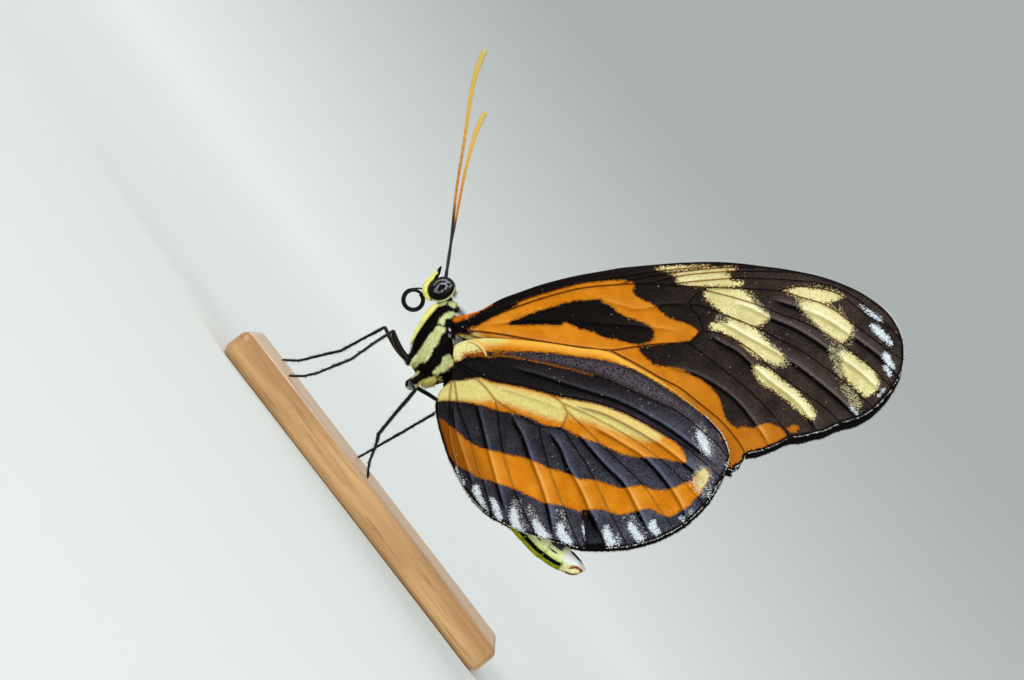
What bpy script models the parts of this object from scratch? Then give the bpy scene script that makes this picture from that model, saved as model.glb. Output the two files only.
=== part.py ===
"""An isabella's longwing butterfly at life size, at rest with its wings closed over its back, on a thin base.

It faces -X, its back is up and its left side faces -Y. Each body part is one closed solid. Outlines and veins are
read on a side view of the left wings, 1024 by 680 units, x to the right and y down, and brought to the real size
by the length of the forewing.
"""

import math

import bmesh
import bpy
from mathutils import Vector
from mathutils.geometry import delaunay_2d_cdt

MM = 0.001
GAP = 0.3 * MM
LEFT, RIGHT = -1, 1
SIDES = {"left": LEFT, "right": RIGHT}

# The side view: its unit, the turn that brings the feet to one level, and where its reference point lies.
FOREWING_LENGTH = 40.0 * MM
HINGE = (456, 324)
APEX = (901, 350)
UNIT = FOREWING_LENGTH / math.dist(HINGE, APEX)
POSE_TURN = math.radians(52.4)
VIEW_POINT = (298, 365)
VIEW_POINT_PLACE = (-13.0 * MM, 4.1 * MM)

# The base.
BASE_LENGTH = 36.0 * MM
BASE_WIDTH = 22.0 * MM
BASE_THICKNESS = 3.0 * MM
BASE_EDGE = 0.8 * MM
FOOT_LEVEL = BASE_THICKNESS + GAP

# The wings: thickness, and how far their middle surface stands from the plane between the two sides.
MEMBRANE = 0.5 * MM
RIDGE = 0.8 * MM
RIDGE_HALF_WIDTH = (0.32 * MM, 0.22 * MM)
FOREWING_OFFSET = 0.55 * MM
FOREWING_HINGE_RISE = 1.15 * MM
FOREWING_HINGE_REACH = 2.6 * MM
HINDWING_OFFSET = 1.65 * MM
HINDWING_LOBE = (463, 350)
HINDWING_LOBE_RISE = 0.95 * MM
HINDWING_LOBE_REACH = 3.0 * MM
ABDOMEN_CLEARANCE_RISE = 0.45 * MM
ABDOMEN_CLEARANCE_REACH = (1.4 * MM, 3.8 * MM)
RIGHT_FOREWING_DROP = math.radians(1.4)

# The split of a wing: the steps along its edge and veins, the grid between them, and how near points may lie.
EDGE_STEP = 1.5 * MM
VEIN_STEP = 1.5 * MM
FILL_STEP = 2.0 * MM
VEIN_FROM_EDGE = 0.45 * MM
VEINS_MEET = 0.4 * MM
SIDE_APART = 0.2 * MM
SIDE_FROM_EDGE = 0.3 * MM
FILL_APART = 0.9 * MM
FILL_FROM_EDGE = 0.8 * MM

FOREWING_OUTLINE = [
    (455, 322), (480, 310.5), (520, 292), (560, 279.5), (620, 268), (680, 262.8), (740, 263.5), (800, 272),
    (840, 283.3), (880, 306), (899.5, 332.6), (903.4, 352), (899.5, 373), (891, 388), (873, 408), (840, 422.5),
    (790, 437), (761, 449.7), (745, 455), (742, 462), (728, 468), (660, 432), (600, 400), (520, 362), (458, 335),
    (455, 322),
]
FOREWING_VEINS = [
    [(459, 325), (500, 309), (540, 294), (580, 283), (620, 277), (660, 271), (700, 267)],
    [(459, 327), (500, 313), (540, 300), (580, 290), (620, 285), (660, 284.5), (700, 287), (740, 288.5),
     (778, 291), (800, 297), (835, 311), (868, 335), (901, 359)],
    [(646, 284), (700, 274), (740, 277), (800, 280.5), (840, 289), (870, 309), (893, 330)],
    [(620, 285), (660, 276), (720, 268), (770, 268)],
    [(704, 289), (735, 298), (780, 314), (840, 344), (876, 373), (892, 388)],
    [(689, 304), (712, 310), (744, 322), (780, 340), (820, 364), (873, 408)],
    [(704, 331), (722, 334), (755, 353), (800, 390), (840, 422)],
    [(688, 342), (719, 366), (760, 402), (790, 437)],
    [(610, 350), (660, 377.5), (700, 403.7), (745, 454)],
    [(459, 329), (500, 334), (540, 341), (580, 347), (610, 350), (650, 344.5), (688, 342), (704, 331),
     (700, 321), (689, 304), (704, 289)],
    [(459, 331), (520, 350), (600, 388), (660, 420), (730, 462)],
]

HINDWING_FRONT = [
    (456, 364), (453.5, 356), (455, 346), (463, 341), (480, 338.5), (510, 339), (545, 343), (580, 348), (608, 352),
    (640, 369), (680, 395), (710, 420), (727, 448), (728, 459), (720, 480), (703, 505), (685, 522), (655, 538),
    (604, 546),
]
HINDWING_TEAR = (584, 511)
HINDWING_BACK = [
    (586, 546.5), (560, 542), (520, 530), (490, 514), (465, 487), (450, 460), (440, 431), (435.5, 407),
    (441, 390), (449, 380), (453, 372), (456, 364),
]
HINDWING_VEINS = [
    [(458, 363), (487, 357.5), (505, 356), (541, 362.6), (600, 377), (660, 403.4), (700, 429.5), (726, 456)],
    [(487, 357.5), (484, 350), (470, 343)],
    [(461, 364), (485.5, 377), (540, 389.6), (600, 402.6), (640, 419.7), (680, 442.6), (720, 477)],
    [(548, 392), (557, 398.5), (567.9, 411.6), (586.6, 429.5), (620, 462), (655, 501), (671, 526)],
    [(563, 404), (593, 416.5), (640.5, 444), (679.6, 477), (704, 505)],
    [(567.9, 411.6), (565, 419), (560.5, 428.7)],
    [(460, 366), (487, 388.7), (511.6, 410), (539, 425.4), (560.5, 428.7), (586.6, 465), (609.5, 511), (626, 543)],
    [(539, 425.4), (550.7, 472), (580, 547)],
    [(496, 398), (498.5, 421), (503, 451), (519.7, 503), (534.4, 533)],
    [(457, 370), (457, 395), (460, 411.6), (469, 434), (485.5, 490), (492, 515)],
    [(454, 372), (450, 402), (450.4, 431), (462, 478)],
]

# The body, as stations along each axis: place in the side view, half depth and half width.
THORAX = [
    (448, 302, 9, 0.8), (447, 310, 14, 1.45), (446, 320, 19, 1.85), (444, 332, 24, 2.1), (441.5, 345, 28, 2.15),
    (439.5, 359, 29.5, 2.05), (438, 371, 26, 1.8), (438, 380, 19, 1.3), (439, 386, 9, 0.7),
]
ABDOMEN = [
    (451, 376, 7, 0.6), (453, 389, 9, 0.85), (462, 425, 13, 1.25), (481, 464, 14.5, 1.35), (510, 506, 14.5, 1.35),
    (540, 542, 14, 1.3), (564, 559.5, 13, 1.1), (577, 567, 8.5, 0.75), (583, 570, 3.5, 0.3),
]
ABDOMEN_RINGS = 8
ABDOMEN_GROOVE = 0.12 * MM
GROOVE_SHARE = 1 / 3
HEAD = [
    (429.5, 296, 4, 0.25), (432, 294, 8, 0.5), (437, 291, 10, 0.68), (442, 289, 10.5, 0.75), (447, 287, 9.5, 0.68),
    (451.5, 285, 6.5, 0.45), (453.5, 284, 3, 0.2),
]
NECK = [(443, 291), (447, 304)]
NECK_RADIUS = 0.5 * MM
EYE = (441.5, 288.5)
EYE_AXES = (14, 11)
EYE_TILT = math.radians(33)
EYE_HALF_WIDTH = 0.7 * MM
EYE_OFFSET = 0.82 * MM
FOREWING_BOSS = (457, 322, 1.45, 0.75)
HINDWING_BOSS = (457, 367, 1.85, 0.85)
COXAE = [((428, 347, 0.8), (411, 360, 1.0), 0.55), ((428, 371, 0.7), (411, 384, 1.1), 0.55)]
COXA_TAPER = 0.8

# How finely the round parts are divided.
TRUNK_SIDES = 24
THORAX_STEP = 0.7 * MM
HEAD_STEP = 0.22 * MM
ABDOMEN_SIDES = 20
ABDOMEN_STEP = 0.85 * MM
BALL_SEGMENTS = (20, 12)
COIL_SEGMENTS = (28, 10)
PALP_STEP = 0.4 * MM
ANTENNA_STEP = 1.3 * MM
FORELEG_STEP = 0.8 * MM
STEM_STEP = 0.3 * MM
SMOOTH_STEPS = 12
KNEE_STEPS = 4

# Thin round parts: place in the side view, distance from the middle plane in mm, and radius in mm.
PALP = [(434, 299, 0.45, 0.2), (428, 296, 0.6, 0.3), (426, 290, 0.72, 0.34), (428.5, 283, 0.75, 0.36),
        (434, 275.5, 0.7, 0.3), (440.5, 267, 0.62, 0.12)]
ANTENNA_LEFT = [(446, 283, 0.42, 0.25), (446, 275, 0.5, 0.25), (449.8, 254, 0.85, 0.25), (456.5, 192.6, 2.1, 0.25),
                (464.2, 145, 3.2, 0.26), (471.8, 95, 4.4, 0.28), (481.4, 60.6, 5.2, 0.29), (486.2, 54, 5.4, 0.2)]
ANTENNA_RIGHT = [(446, 283, 0.42, 0.25), (446.5, 275, 0.6, 0.25), (449, 252, 2.0, 0.25), (456.5, 212, 5.0, 0.25),
                 (464, 170, 8.6, 0.26), (472, 137, 11.6, 0.28), (478, 118, 13.5, 0.29), (484, 106.5, 14.3, 0.2)]
PROBOSCIS_CENTRE = (413.5, 300)
PROBOSCIS_RING = 0.87 * MM
PROBOSCIS_RADIUS = 0.25 * MM
PROBOSCIS_STEM = [(418, 290.5), (424, 289.5), (434, 296)]
PROBOSCIS_STEM_RADIUS = 0.22 * MM
FORELEG = [(440, 303, 0.7, 0.26), (432, 309, 0.85, 0.3), (423, 320, 0.9, 0.32), (414, 334, 0.85, 0.3),
           (408.5, 344, 0.8, 0.26)]
MIDLEG_LEFT = [(416, 357, 0.9, 0.28), (409, 357, 1.2, 0.28), (394, 330, 3.0, 0.27), (352, 359.5, 4.5, 0.25),
               (335, 366, 4.8, 0.25), (322, 371, 5.1, 0.25), (310, 373, 5.3, 0.25), (296, 372, 5.5, 0.25)]
MIDLEG_RIGHT = [(416, 357, 0.9, 0.28), (408, 358, 1.2, 0.28), (384, 327, 3.2, 0.27), (339, 351, 4.6, 0.25),
                (320, 355, 4.9, 0.25), (300, 358.5, 5.2, 0.25), (284, 357, 5.5, 0.25)]
HINDLEG_LEFT = [(417, 379, 1.0, 0.28), (411, 383, 1.9, 0.28), (416, 390, 5.0, 0.27), (380, 433, 5.0, 0.25),
                (378, 445, 5.0, 0.25), (374, 458, 5.2, 0.25), (373.5, 473, 5.4, 0.25)]
HINDLEG_RIGHT = [(417, 380, 1.0, 0.28), (413, 385, 1.9, 0.28), (446, 407, 4.2, 0.27), (398, 435, 5.2, 0.25),
                 (380, 445, 5.4, 0.25), (360, 456, 5.6, 0.25)]
KNEE_CUT = 0.55 * MM
FOOT_FLAT = 0.06 * MM
FOOT_BEND = 3.0 * MM

# Colour, roughness and metallic value of each material.
FINISHES = {
    "wood": ((0.62, 0.42, 0.24), 0.55),
    "thorax_black": ((0.02, 0.02, 0.022), 0.6),
    "abdomen_green": ((0.62, 0.66, 0.28), 0.55),
    "eye": ((0.01, 0.01, 0.012), 0.2),
    "palp_yellow": ((0.75, 0.72, 0.3), 0.6),
    "leg_black": ((0.015, 0.014, 0.014), 0.45),
    "antenna_orange": ((0.72, 0.36, 0.06), 0.5),
    "wing_orange": ((0.7, 0.26, 0.02), 0.55),
    "wing_black": ((0.04, 0.03, 0.035), 0.55),
}

longwing = bpy.data.collections.new("isabellas_longwing")
rooms = bpy.data.collections.new("rooms")


def clear_scene():
    for item in list(bpy.data.objects):
        bpy.data.objects.remove(item, do_unlink=True)
    bpy.context.scene.collection.children.link(longwing)
    bpy.context.scene.collection.children.link(rooms)
    rooms.hide_render = True


def spot(x, y, offset=0.0):
    """The place of a point of the side view, at this distance along Y from the middle plane."""
    across = (x - VIEW_POINT[0]) * UNIT
    up = (VIEW_POINT[1] - y) * UNIT
    turned_x = across * math.cos(POSE_TURN) - up * math.sin(POSE_TURN)
    turned_z = across * math.sin(POSE_TURN) + up * math.cos(POSE_TURN)
    return Vector((turned_x + VIEW_POINT_PLACE[0], offset, turned_z + VIEW_POINT_PLACE[1]))


def flat_spot(x, y):
    """The same place as a point of the XZ plane."""
    place = spot(x, y)
    return Vector((place.x, place.z))


def even_steps(points, spacing):
    """The polyline's points set again about this far apart."""
    lengths = [(b - a).length for a, b in zip(points, points[1:])]
    count = max(1, round(sum(lengths) / spacing))
    step = sum(lengths) / count
    found = [points[0]]
    travelled = 0.0
    for start, end, length in zip(points, points[1:], lengths):
        while len(found) < count and travelled + length >= len(found) * step:
            found.append(start.lerp(end, (len(found) * step - travelled) / length))
        travelled += length
    return found + [points[-1]]


def curve_through(points, spacing):
    """Even steps on the smooth (Catmull-Rom) curve through the points."""
    if len(points) < 3:
        return even_steps(points, spacing)
    ends = [2 * points[0] - points[1], *points, 2 * points[-1] - points[-2]]
    fine = []
    for a, b, c, d in zip(ends, ends[1:], ends[2:], ends[3:]):
        for i in range(SMOOTH_STEPS):
            t = i / SMOOTH_STEPS
            straight = 2 * b + (c - a) * t
            bend = (2 * a - 5 * b + 4 * c - d) * t * t + (3 * b - a - 3 * c + d) * t**3
            fine.append((straight + bend) / 2)
    return even_steps([*fine, points[-1]], spacing)


def rounded(points, cut):
    """The polyline with each corner eased by a short bend that starts this far from it."""
    found = [points[0]]
    for before, corner, after in zip(points, points[1:], points[2:]):
        start = corner.lerp(before, min(0.45, cut / (before - corner).length))
        end = corner.lerp(after, min(0.45, cut / (after - corner).length))
        for i in range(KNEE_STEPS + 1):
            t = i / KNEE_STEPS
            found.append(start.lerp(corner, t).lerp(corner.lerp(end, t), t))
    return [*found, points[-1]]


def mesh_object(name, mesh, collection=longwing):
    part = bpy.data.objects.new(name, mesh)
    collection.objects.link(part)
    return part


def take_in(part, name):
    """Names the object and moves it to the part's collection."""
    part.name = name
    for place in list(part.users_collection):
        place.objects.unlink(part)
    longwing.objects.link(part)
    return part


def keep_largest(mesh):
    """Keeps the largest closed surface of the mesh."""
    shape = bmesh.new()
    shape.from_mesh(mesh)
    left = set(shape.verts)
    islands = []
    while left:
        island = [left.pop()]
        for vert in island:
            near = {link.other_vert(vert) for link in vert.link_edges} & left
            left -= near
            island.extend(near)
        islands.append(island)
    islands.sort(key=len)
    loose = [vert for island in islands[:-1] for vert in island]
    bmesh.ops.delete(shape, geom=loose, context="VERTS")
    shape.to_mesh(mesh)
    shape.free()


def settle(part):
    """Applies the part's modifiers and keeps its largest closed surface."""
    bpy.context.view_layer.update()
    graph = bpy.context.evaluated_depsgraph_get()
    mesh = bpy.data.meshes.new_from_object(part.evaluated_get(graph))
    part.modifiers.clear()
    part.data = mesh
    keep_largest(mesh)


def join(name, pieces):
    """One closed solid made of overlapping closed meshes."""
    whole = pieces[0]
    whole.name = name
    others = bpy.data.collections.new(name + "_pieces")
    bpy.context.scene.collection.children.link(others)
    for piece in pieces[1:]:
        for place in list(piece.users_collection):
            place.objects.unlink(piece)
        others.objects.link(piece)
    union = whole.modifiers.new("Union", "BOOLEAN")
    union.operation = "UNION"
    union.operand_type = "COLLECTION"
    union.collection = others
    settle(whole)
    for piece in list(others.objects):
        bpy.data.objects.remove(piece, do_unlink=True)
    bpy.data.collections.remove(others)
    return whole


def cut_clear(part, *room_names):
    """Cuts the part back to the gap that its neighbours keep."""
    for room_name in room_names:
        for room in bpy.data.collections[room_name].objects:
            cut = part.modifiers.new(room.name, "BOOLEAN")
            cut.operation = "DIFFERENCE"
            cut.object = room
    settle(part)


def room(name, pieces):
    """Grown copies of a part, which its neighbours are cut by."""
    place = bpy.data.collections.new(name)
    rooms.children.link(place)
    for piece in pieces:
        for old in list(piece.users_collection):
            old.objects.unlink(piece)
        place.objects.link(piece)
        piece.hide_render = True
        piece.display_type = "WIRE"


def skin(name, rings):
    """A closed skin through rings of as many points each, with a fan over either end."""
    shape = bmesh.new()
    loops = [[shape.verts.new(point) for point in ring] for ring in rings]
    for below, above in zip(loops, loops[1:]):
        for i in range(len(below)):
            j = (i + 1) % len(below)
            shape.faces.new((below[i], below[j], above[j], above[i]))
    for loop in (loops[0], loops[-1]):
        centre = shape.verts.new(sum((vert.co for vert in loop), Vector()) / len(loop))
        for i in range(len(loop)):
            shape.faces.new((loop[i], loop[(i + 1) % len(loop)], centre))
    bmesh.ops.recalc_face_normals(shape, faces=shape.faces)
    mesh = bpy.data.meshes.new(name)
    shape.to_mesh(mesh)
    shape.free()
    mesh.shade_smooth()
    return mesh_object(name, mesh)


def body_rings(stations, growth, spacing, sides, groove=None):
    """Elliptical rings along a body part's axis, which lies in the middle plane."""
    path = []
    for x, y, half_depth, half_width in stations:
        place = flat_spot(x, y)
        path.append(Vector((place.x, place.y, half_depth * UNIT, half_width * MM)))
    path = curve_through(path, spacing)
    first_way = (path[0] - path[1]).xy.normalized() * growth
    last_way = (path[-1] - path[-2]).xy.normalized() * growth
    rings = []
    for i, (x, z, half_depth, half_width) in enumerate(path):
        way = (path[min(i + 1, len(path) - 1)] - path[max(i - 1, 0)]).xy.normalized()
        shift = first_way if i == 0 else last_way if i == len(path) - 1 else Vector((0, 0))
        slim = groove(i / (len(path) - 1)) if groove else 0.0
        ring = []
        for k in range(sides):
            turn = math.tau * k / sides
            out = (half_depth + growth - slim) * math.cos(turn)
            wide = (half_width + growth - slim) * math.sin(turn)
            ring.append((x + shift.x - way.y * out, wide, z + shift.y + way.x * out))
        rings.append(ring)
    return rings


def ball(name, x, y, offset, radii, tilt=0.0):
    """An ellipsoid: radii along the side view's x, across the view, and along the view's y before the tilt."""
    shape = bmesh.new()
    bmesh.ops.create_uvsphere(shape, u_segments=BALL_SEGMENTS[0], v_segments=BALL_SEGMENTS[1], radius=1.0)
    centre = spot(x, y, offset)
    turn = POSE_TURN + tilt
    for vert in shape.verts:
        along, up = vert.co.x * radii[0], vert.co.z * radii[2]
        vert.co = centre + Vector((along * math.cos(turn) - up * math.sin(turn), vert.co.y * radii[1],
                                   along * math.sin(turn) + up * math.cos(turn)))
    mesh = bpy.data.meshes.new(name)
    shape.to_mesh(mesh)
    shape.free()
    mesh.shade_smooth()
    return mesh_object(name, mesh)


def tube(name, points, radii, resolution=2):
    """A round tube of changing radius through the points, as a closed mesh."""
    curve = bpy.data.curves.new(name, "CURVE")
    curve.dimensions = "3D"
    curve.bevel_depth = 1.0 * MM
    curve.bevel_resolution = resolution
    curve.use_fill_caps = True
    line = curve.splines.new("POLY")
    line.points.add(len(points) - 1)
    for target, point, radius in zip(line.points, points, radii):
        target.co = (*point, 1.0)
        target.radius = radius / MM
    guide = mesh_object(name + "_guide", curve)
    bpy.context.view_layer.update()
    graph = bpy.context.evaluated_depsgraph_get()
    mesh = bpy.data.meshes.new_from_object(guide.evaluated_get(graph))
    bpy.data.objects.remove(guide, do_unlink=True)
    shape = bmesh.new()
    shape.from_mesh(mesh)
    bmesh.ops.remove_doubles(shape, verts=shape.verts, dist=0.001 * MM)
    bmesh.ops.recalc_face_normals(shape, faces=shape.faces)
    shape.to_mesh(mesh)
    shape.free()
    mesh.name = name
    mesh.shade_smooth()
    return mesh_object(name, mesh)


def round_part(name, stations, side, spacing, resolution=2, growth=0.0):
    """A smooth tube whose stations give place, distance from the middle plane and radius."""
    path = [Vector((*flat_spot(x, y), offset * MM * side, radius * MM)) for x, y, offset, radius in stations]
    path = curve_through(path, spacing)
    points = [Vector((x, offset, z)) for x, z, offset, _ in path]
    radii = [radius + growth for *_, radius in path]
    return tube(name, points, radii, resolution)


def leg(name, stations, side):
    """A leg of straight lengths with eased knees, its foot flat where it stands."""
    path = [Vector((*flat_spot(x, y), offset * MM * side, radius * MM)) for x, y, offset, radius in stations]
    path = rounded(path, KNEE_CUT)
    points = [Vector((x, offset, z)) for x, z, offset, _ in path]
    part = tube(name, points, [radius for *_, radius in path])
    lowest = min(vert.co.z for vert in part.data.vertices)
    lift = FOOT_LEVEL - FOOT_FLAT - lowest
    tip = points[-1]
    for vert in part.data.vertices:
        near = max(0.0, 1.0 - (vert.co - tip).length / FOOT_BEND)
        vert.co.z += lift * near
        vert.co.z = max(vert.co.z, FOOT_LEVEL)
    return part


def distance_to(point, line):
    """How far the point is from the polyline, and how far along it the nearest place is, from 0 to 1."""
    best = (math.inf, 0.0)
    for i, (start, end) in enumerate(zip(line, line[1:])):
        way = end - start
        t = max(0.0, min(1.0, (point - start).dot(way) / way.length_squared))
        best = min(best, ((point - start - way * t).length, (i + t) / (len(line) - 1)))
    return best


def inside(point, outline):
    crossings = 0
    for a, b in zip(outline, [*outline[1:], outline[0]]):
        if (a.y > point.y) != (b.y > point.y):
            crossings += point.x < a.x + (point.y - a.y) / (b.y - a.y) * (b.x - a.x)
    return crossings % 2 == 1


def rise_near(point, centre, reach):
    return math.exp(-(((point - centre).length / reach) ** 2))


def forewing_offset(point):
    return FOREWING_OFFSET + FOREWING_HINGE_RISE * rise_near(point, flat_spot(*HINGE), FOREWING_HINGE_REACH)


ABDOMEN_LINE = [flat_spot(x, y) for x, y, _, _ in ABDOMEN]


def hindwing_offset(point):
    near, far = ABDOMEN_CLEARANCE_REACH
    t = max(0.0, min(1.0, (far - distance_to(point, ABDOMEN_LINE)[0]) / (far - near)))
    over_abdomen = ABDOMEN_CLEARANCE_RISE * t * t * (3 - 2 * t)
    lobe = HINDWING_LOBE_RISE * rise_near(point, flat_spot(*HINDWING_LOBE), HINDWING_LOBE_REACH)
    return HINDWING_OFFSET + over_abdomen + lobe


def ridge_half_width(along):
    return RIDGE_HALF_WIDTH[0] + (RIDGE_HALF_WIDTH[1] - RIDGE_HALF_WIDTH[0]) * along


class Sheet:
    """The points and lines that a wing's middle surface is split by."""

    def __init__(self, runs):
        self.points = []
        self.lines = []
        for run in runs:
            self.points += curve_through(run, EDGE_STEP)[:-1]
        self.outline = list(self.points)
        count = len(self.points)
        self.lines += [(i, (i + 1) % count) for i in range(count)]

    def is_clear(self, point, apart, from_edge):
        if not inside(point, self.outline):
            return False
        if distance_to(point, [*self.outline, self.outline[0]])[0] < from_edge:
            return False
        return all((point - other).length > apart for other in self.points)

    def add_vein(self, centre_line):
        indices = []
        for point in centre_line:
            edge_distance = distance_to(point, [*self.outline, self.outline[0]])[0]
            if not inside(point, self.outline) or edge_distance < VEIN_FROM_EDGE:
                continue
            near = [i for i, other in enumerate(self.points) if (point - other).length < VEINS_MEET]
            if near:
                indices.append(min(near, key=lambda i: (point - self.points[i]).length))
            else:
                indices.append(len(self.points))
                self.points.append(point)
        self.lines += [(a, b) for a, b in zip(indices, indices[1:]) if a != b]

    def add_sides(self, centre_line):
        for i in range(1, len(centre_line) - 1):
            way = (centre_line[i + 1] - centre_line[i - 1]).normalized()
            half_width = ridge_half_width(i / (len(centre_line) - 1))
            for turn in (-1, 1):
                point = centre_line[i] + Vector((-way.y, way.x)) * half_width * turn
                if self.is_clear(point, SIDE_APART, SIDE_FROM_EDGE):
                    self.points.append(point)

    def add_fill(self):
        low_x, high_x = min(p.x for p in self.outline), max(p.x for p in self.outline)
        low_y, high_y = min(p.y for p in self.outline), max(p.y for p in self.outline)
        for row in range(int((high_y - low_y) / FILL_STEP) + 1):
            for column in range(int((high_x - low_x) / FILL_STEP) + 1):
                point = Vector((low_x + (column + row % 2 / 2) * FILL_STEP, low_y + row * FILL_STEP))
                if self.is_clear(point, FILL_APART, FILL_FROM_EDGE):
                    self.points.append(point)

    def triangles(self):
        """The split of the sheet, worked out in millimetres."""
        points = [point / MM for point in self.points]
        outline = list(range(len(self.outline)))
        found = delaunay_2d_cdt(points, self.lines, [outline], 1, 1e-4)
        return [Vector(point) * MM for point in found[0]], found[2]


def ridge_weight(point, centre_lines):
    best = 0.0
    for line in centre_lines:
        away, along = distance_to(point, line)
        best = max(best, 1.0 - away / ridge_half_width(along))
    return best


def turned_about(point, centre, angle):
    way = point - centre
    return centre + Vector((way.x * math.cos(angle) - way.y * math.sin(angle),
                            way.x * math.sin(angle) + way.y * math.cos(angle)))


def wing(name, runs, veins, offset, side, drop=0.0):
    """A wing: a curved membrane whose veins are ridges on both faces."""
    runs = [[flat_spot(*point) for point in run] for run in runs]
    centre_lines = [curve_through([flat_spot(*point) for point in vein], VEIN_STEP) for vein in veins]
    sheet = Sheet(runs)
    for line in centre_lines:
        sheet.add_vein(line)
    for line in centre_lines:
        sheet.add_sides(line)
    sheet.add_fill()
    points, faces = sheet.triangles()
    hinge = flat_spot(*HINGE)
    places = []
    for point in points:
        turned = turned_about(point, hinge, -drop)
        places.append((turned.x, side * offset(point), turned.y))
    mesh = bpy.data.meshes.new(name)
    mesh.from_pydata(places, [], faces)
    part = mesh_object(name, mesh)
    group = part.vertex_groups.new(name="ridge")
    for i, point in enumerate(points):
        group.add([i], max(0.0, ridge_weight(point, centre_lines)), "REPLACE")
    thicken = part.modifiers.new("Solidify", "SOLIDIFY")
    thicken.thickness = RIDGE
    thicken.offset = 0.0
    thicken.vertex_group = group.name
    thicken.thickness_vertex_group = MEMBRANE / RIDGE
    return part


def paint(part, finish):
    if finish not in bpy.data.materials:
        colour, roughness = FINISHES[finish]
        made = bpy.data.materials.new(finish)
        made.use_nodes = True
        shader = made.node_tree.nodes["Principled BSDF"]
        shader.inputs["Base Color"].default_value = (*colour, 1.0)
        shader.inputs["Roughness"].default_value = roughness
        shader.inputs["Metallic"].default_value = 0.0
    part.data.materials.clear()
    part.data.materials.append(bpy.data.materials[finish])


def make_base():
    bpy.ops.mesh.primitive_cube_add(size=1.0, location=(0, 0, BASE_THICKNESS / 2))
    base = take_in(bpy.context.object, "stand_base")
    base.scale = (BASE_LENGTH, BASE_WIDTH, BASE_THICKNESS)
    bpy.ops.object.transform_apply(location=False, rotation=False, scale=True)
    rounding = base.modifiers.new("Bevel", "BEVEL")
    rounding.width = BASE_EDGE
    rounding.segments = 3
    paint(base, "wood")


def thorax_pieces(growth):
    pieces = [skin("thorax_core", body_rings(THORAX, growth, THORAX_STEP, TRUNK_SIDES))]
    for side in SIDES.values():
        for x, y, offset, radius in (FOREWING_BOSS, HINDWING_BOSS):
            size = radius * MM + growth
            pieces.append(ball("boss", x, y, side * offset * MM, (size, size, size)))
        for (x0, y0, offset0), (x1, y1, offset1), radius in COXAE:
            stations = [(x0, y0, offset0, radius), (x1, y1, offset1, radius * COXA_TAPER)]
            pieces.append(round_part("coxa", stations, side, 1.0 * MM, 4, growth))
    return pieces


def head_pieces(growth):
    core = skin("head_core", body_rings(HEAD, growth, HEAD_STEP, TRUNK_SIDES))
    neck = tube("neck", [spot(*point) for point in NECK], [NECK_RADIUS + growth] * 2, 4)
    return [core, neck]


def eye(name, side, growth):
    radii = (EYE_AXES[0] * UNIT + growth, EYE_HALF_WIDTH + growth, EYE_AXES[1] * UNIT + growth)
    return ball(name, *EYE, side * EYE_OFFSET, radii, EYE_TILT)


def make_trunk():
    room("thorax_room", thorax_pieces(GAP))
    room("head_room", head_pieces(GAP))
    room("eye_room", [eye("eye_clear", side, GAP) for side in SIDES.values()])
    thorax = join("thorax", thorax_pieces(0.0))
    paint(thorax, "thorax_black")
    head = join("head", head_pieces(0.0))
    cut_clear(head, "thorax_room")
    paint(head, "thorax_black")

    def groove(along):
        phase = along * ABDOMEN_RINGS % 1.0
        return ABDOMEN_GROOVE if phase < GROOVE_SHARE else 0.0

    abdomen = skin("abdomen", body_rings(ABDOMEN, 0.0, ABDOMEN_STEP, ABDOMEN_SIDES, groove))
    cut_clear(abdomen, "thorax_room")
    paint(abdomen, "abdomen_green")


def make_head_parts():
    for label, side in SIDES.items():
        ball_eye = eye("eye_" + label, side, 0.0)
        cut_clear(ball_eye, "head_room")
        paint(ball_eye, "eye")
        palp = round_part("palp_" + label, PALP, side, PALP_STEP, 4)
        cut_clear(palp, "head_room", "eye_room")
        paint(palp, "palp_yellow")
        stations = ANTENNA_LEFT if side == LEFT else ANTENNA_RIGHT
        antenna = round_part("antenna_" + label, stations, side, ANTENNA_STEP)
        cut_clear(antenna, "head_room", "eye_room")
        paint(antenna, "antenna_orange")


def make_proboscis():
    """The coiled tongue: a ring that holds its turns, and the stem to the mouth."""
    bpy.ops.mesh.primitive_torus_add(
        major_segments=COIL_SEGMENTS[0], minor_segments=COIL_SEGMENTS[1], major_radius=PROBOSCIS_RING,
        minor_radius=PROBOSCIS_RADIUS, location=spot(*PROBOSCIS_CENTRE), rotation=(math.pi / 2, 0, 0))
    coil = take_in(bpy.context.object, "coil")
    coil.data.shade_smooth()
    stem_points = curve_through([spot(*point) for point in PROBOSCIS_STEM], STEM_STEP)
    stem = tube("stem", stem_points, [PROBOSCIS_STEM_RADIUS] * len(stem_points), 3)
    proboscis = join("proboscis", [coil, stem])
    cut_clear(proboscis, "head_room")
    paint(proboscis, "leg_black")


def make_legs():
    for label, side in SIDES.items():
        foreleg = round_part("foreleg_" + label, FORELEG, side, FORELEG_STEP, 3)
        cut_clear(foreleg, "thorax_room", "head_room")
        paint(foreleg, "palp_yellow")
    for name, stations, side in (("midleg_left", MIDLEG_LEFT, LEFT), ("midleg_right", MIDLEG_RIGHT, RIGHT),
                                 ("hindleg_left", HINDLEG_LEFT, LEFT), ("hindleg_right", HINDLEG_RIGHT, RIGHT)):
        part = leg(name, stations, side)
        cut_clear(part, "thorax_room")
        paint(part, "leg_black")


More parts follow.
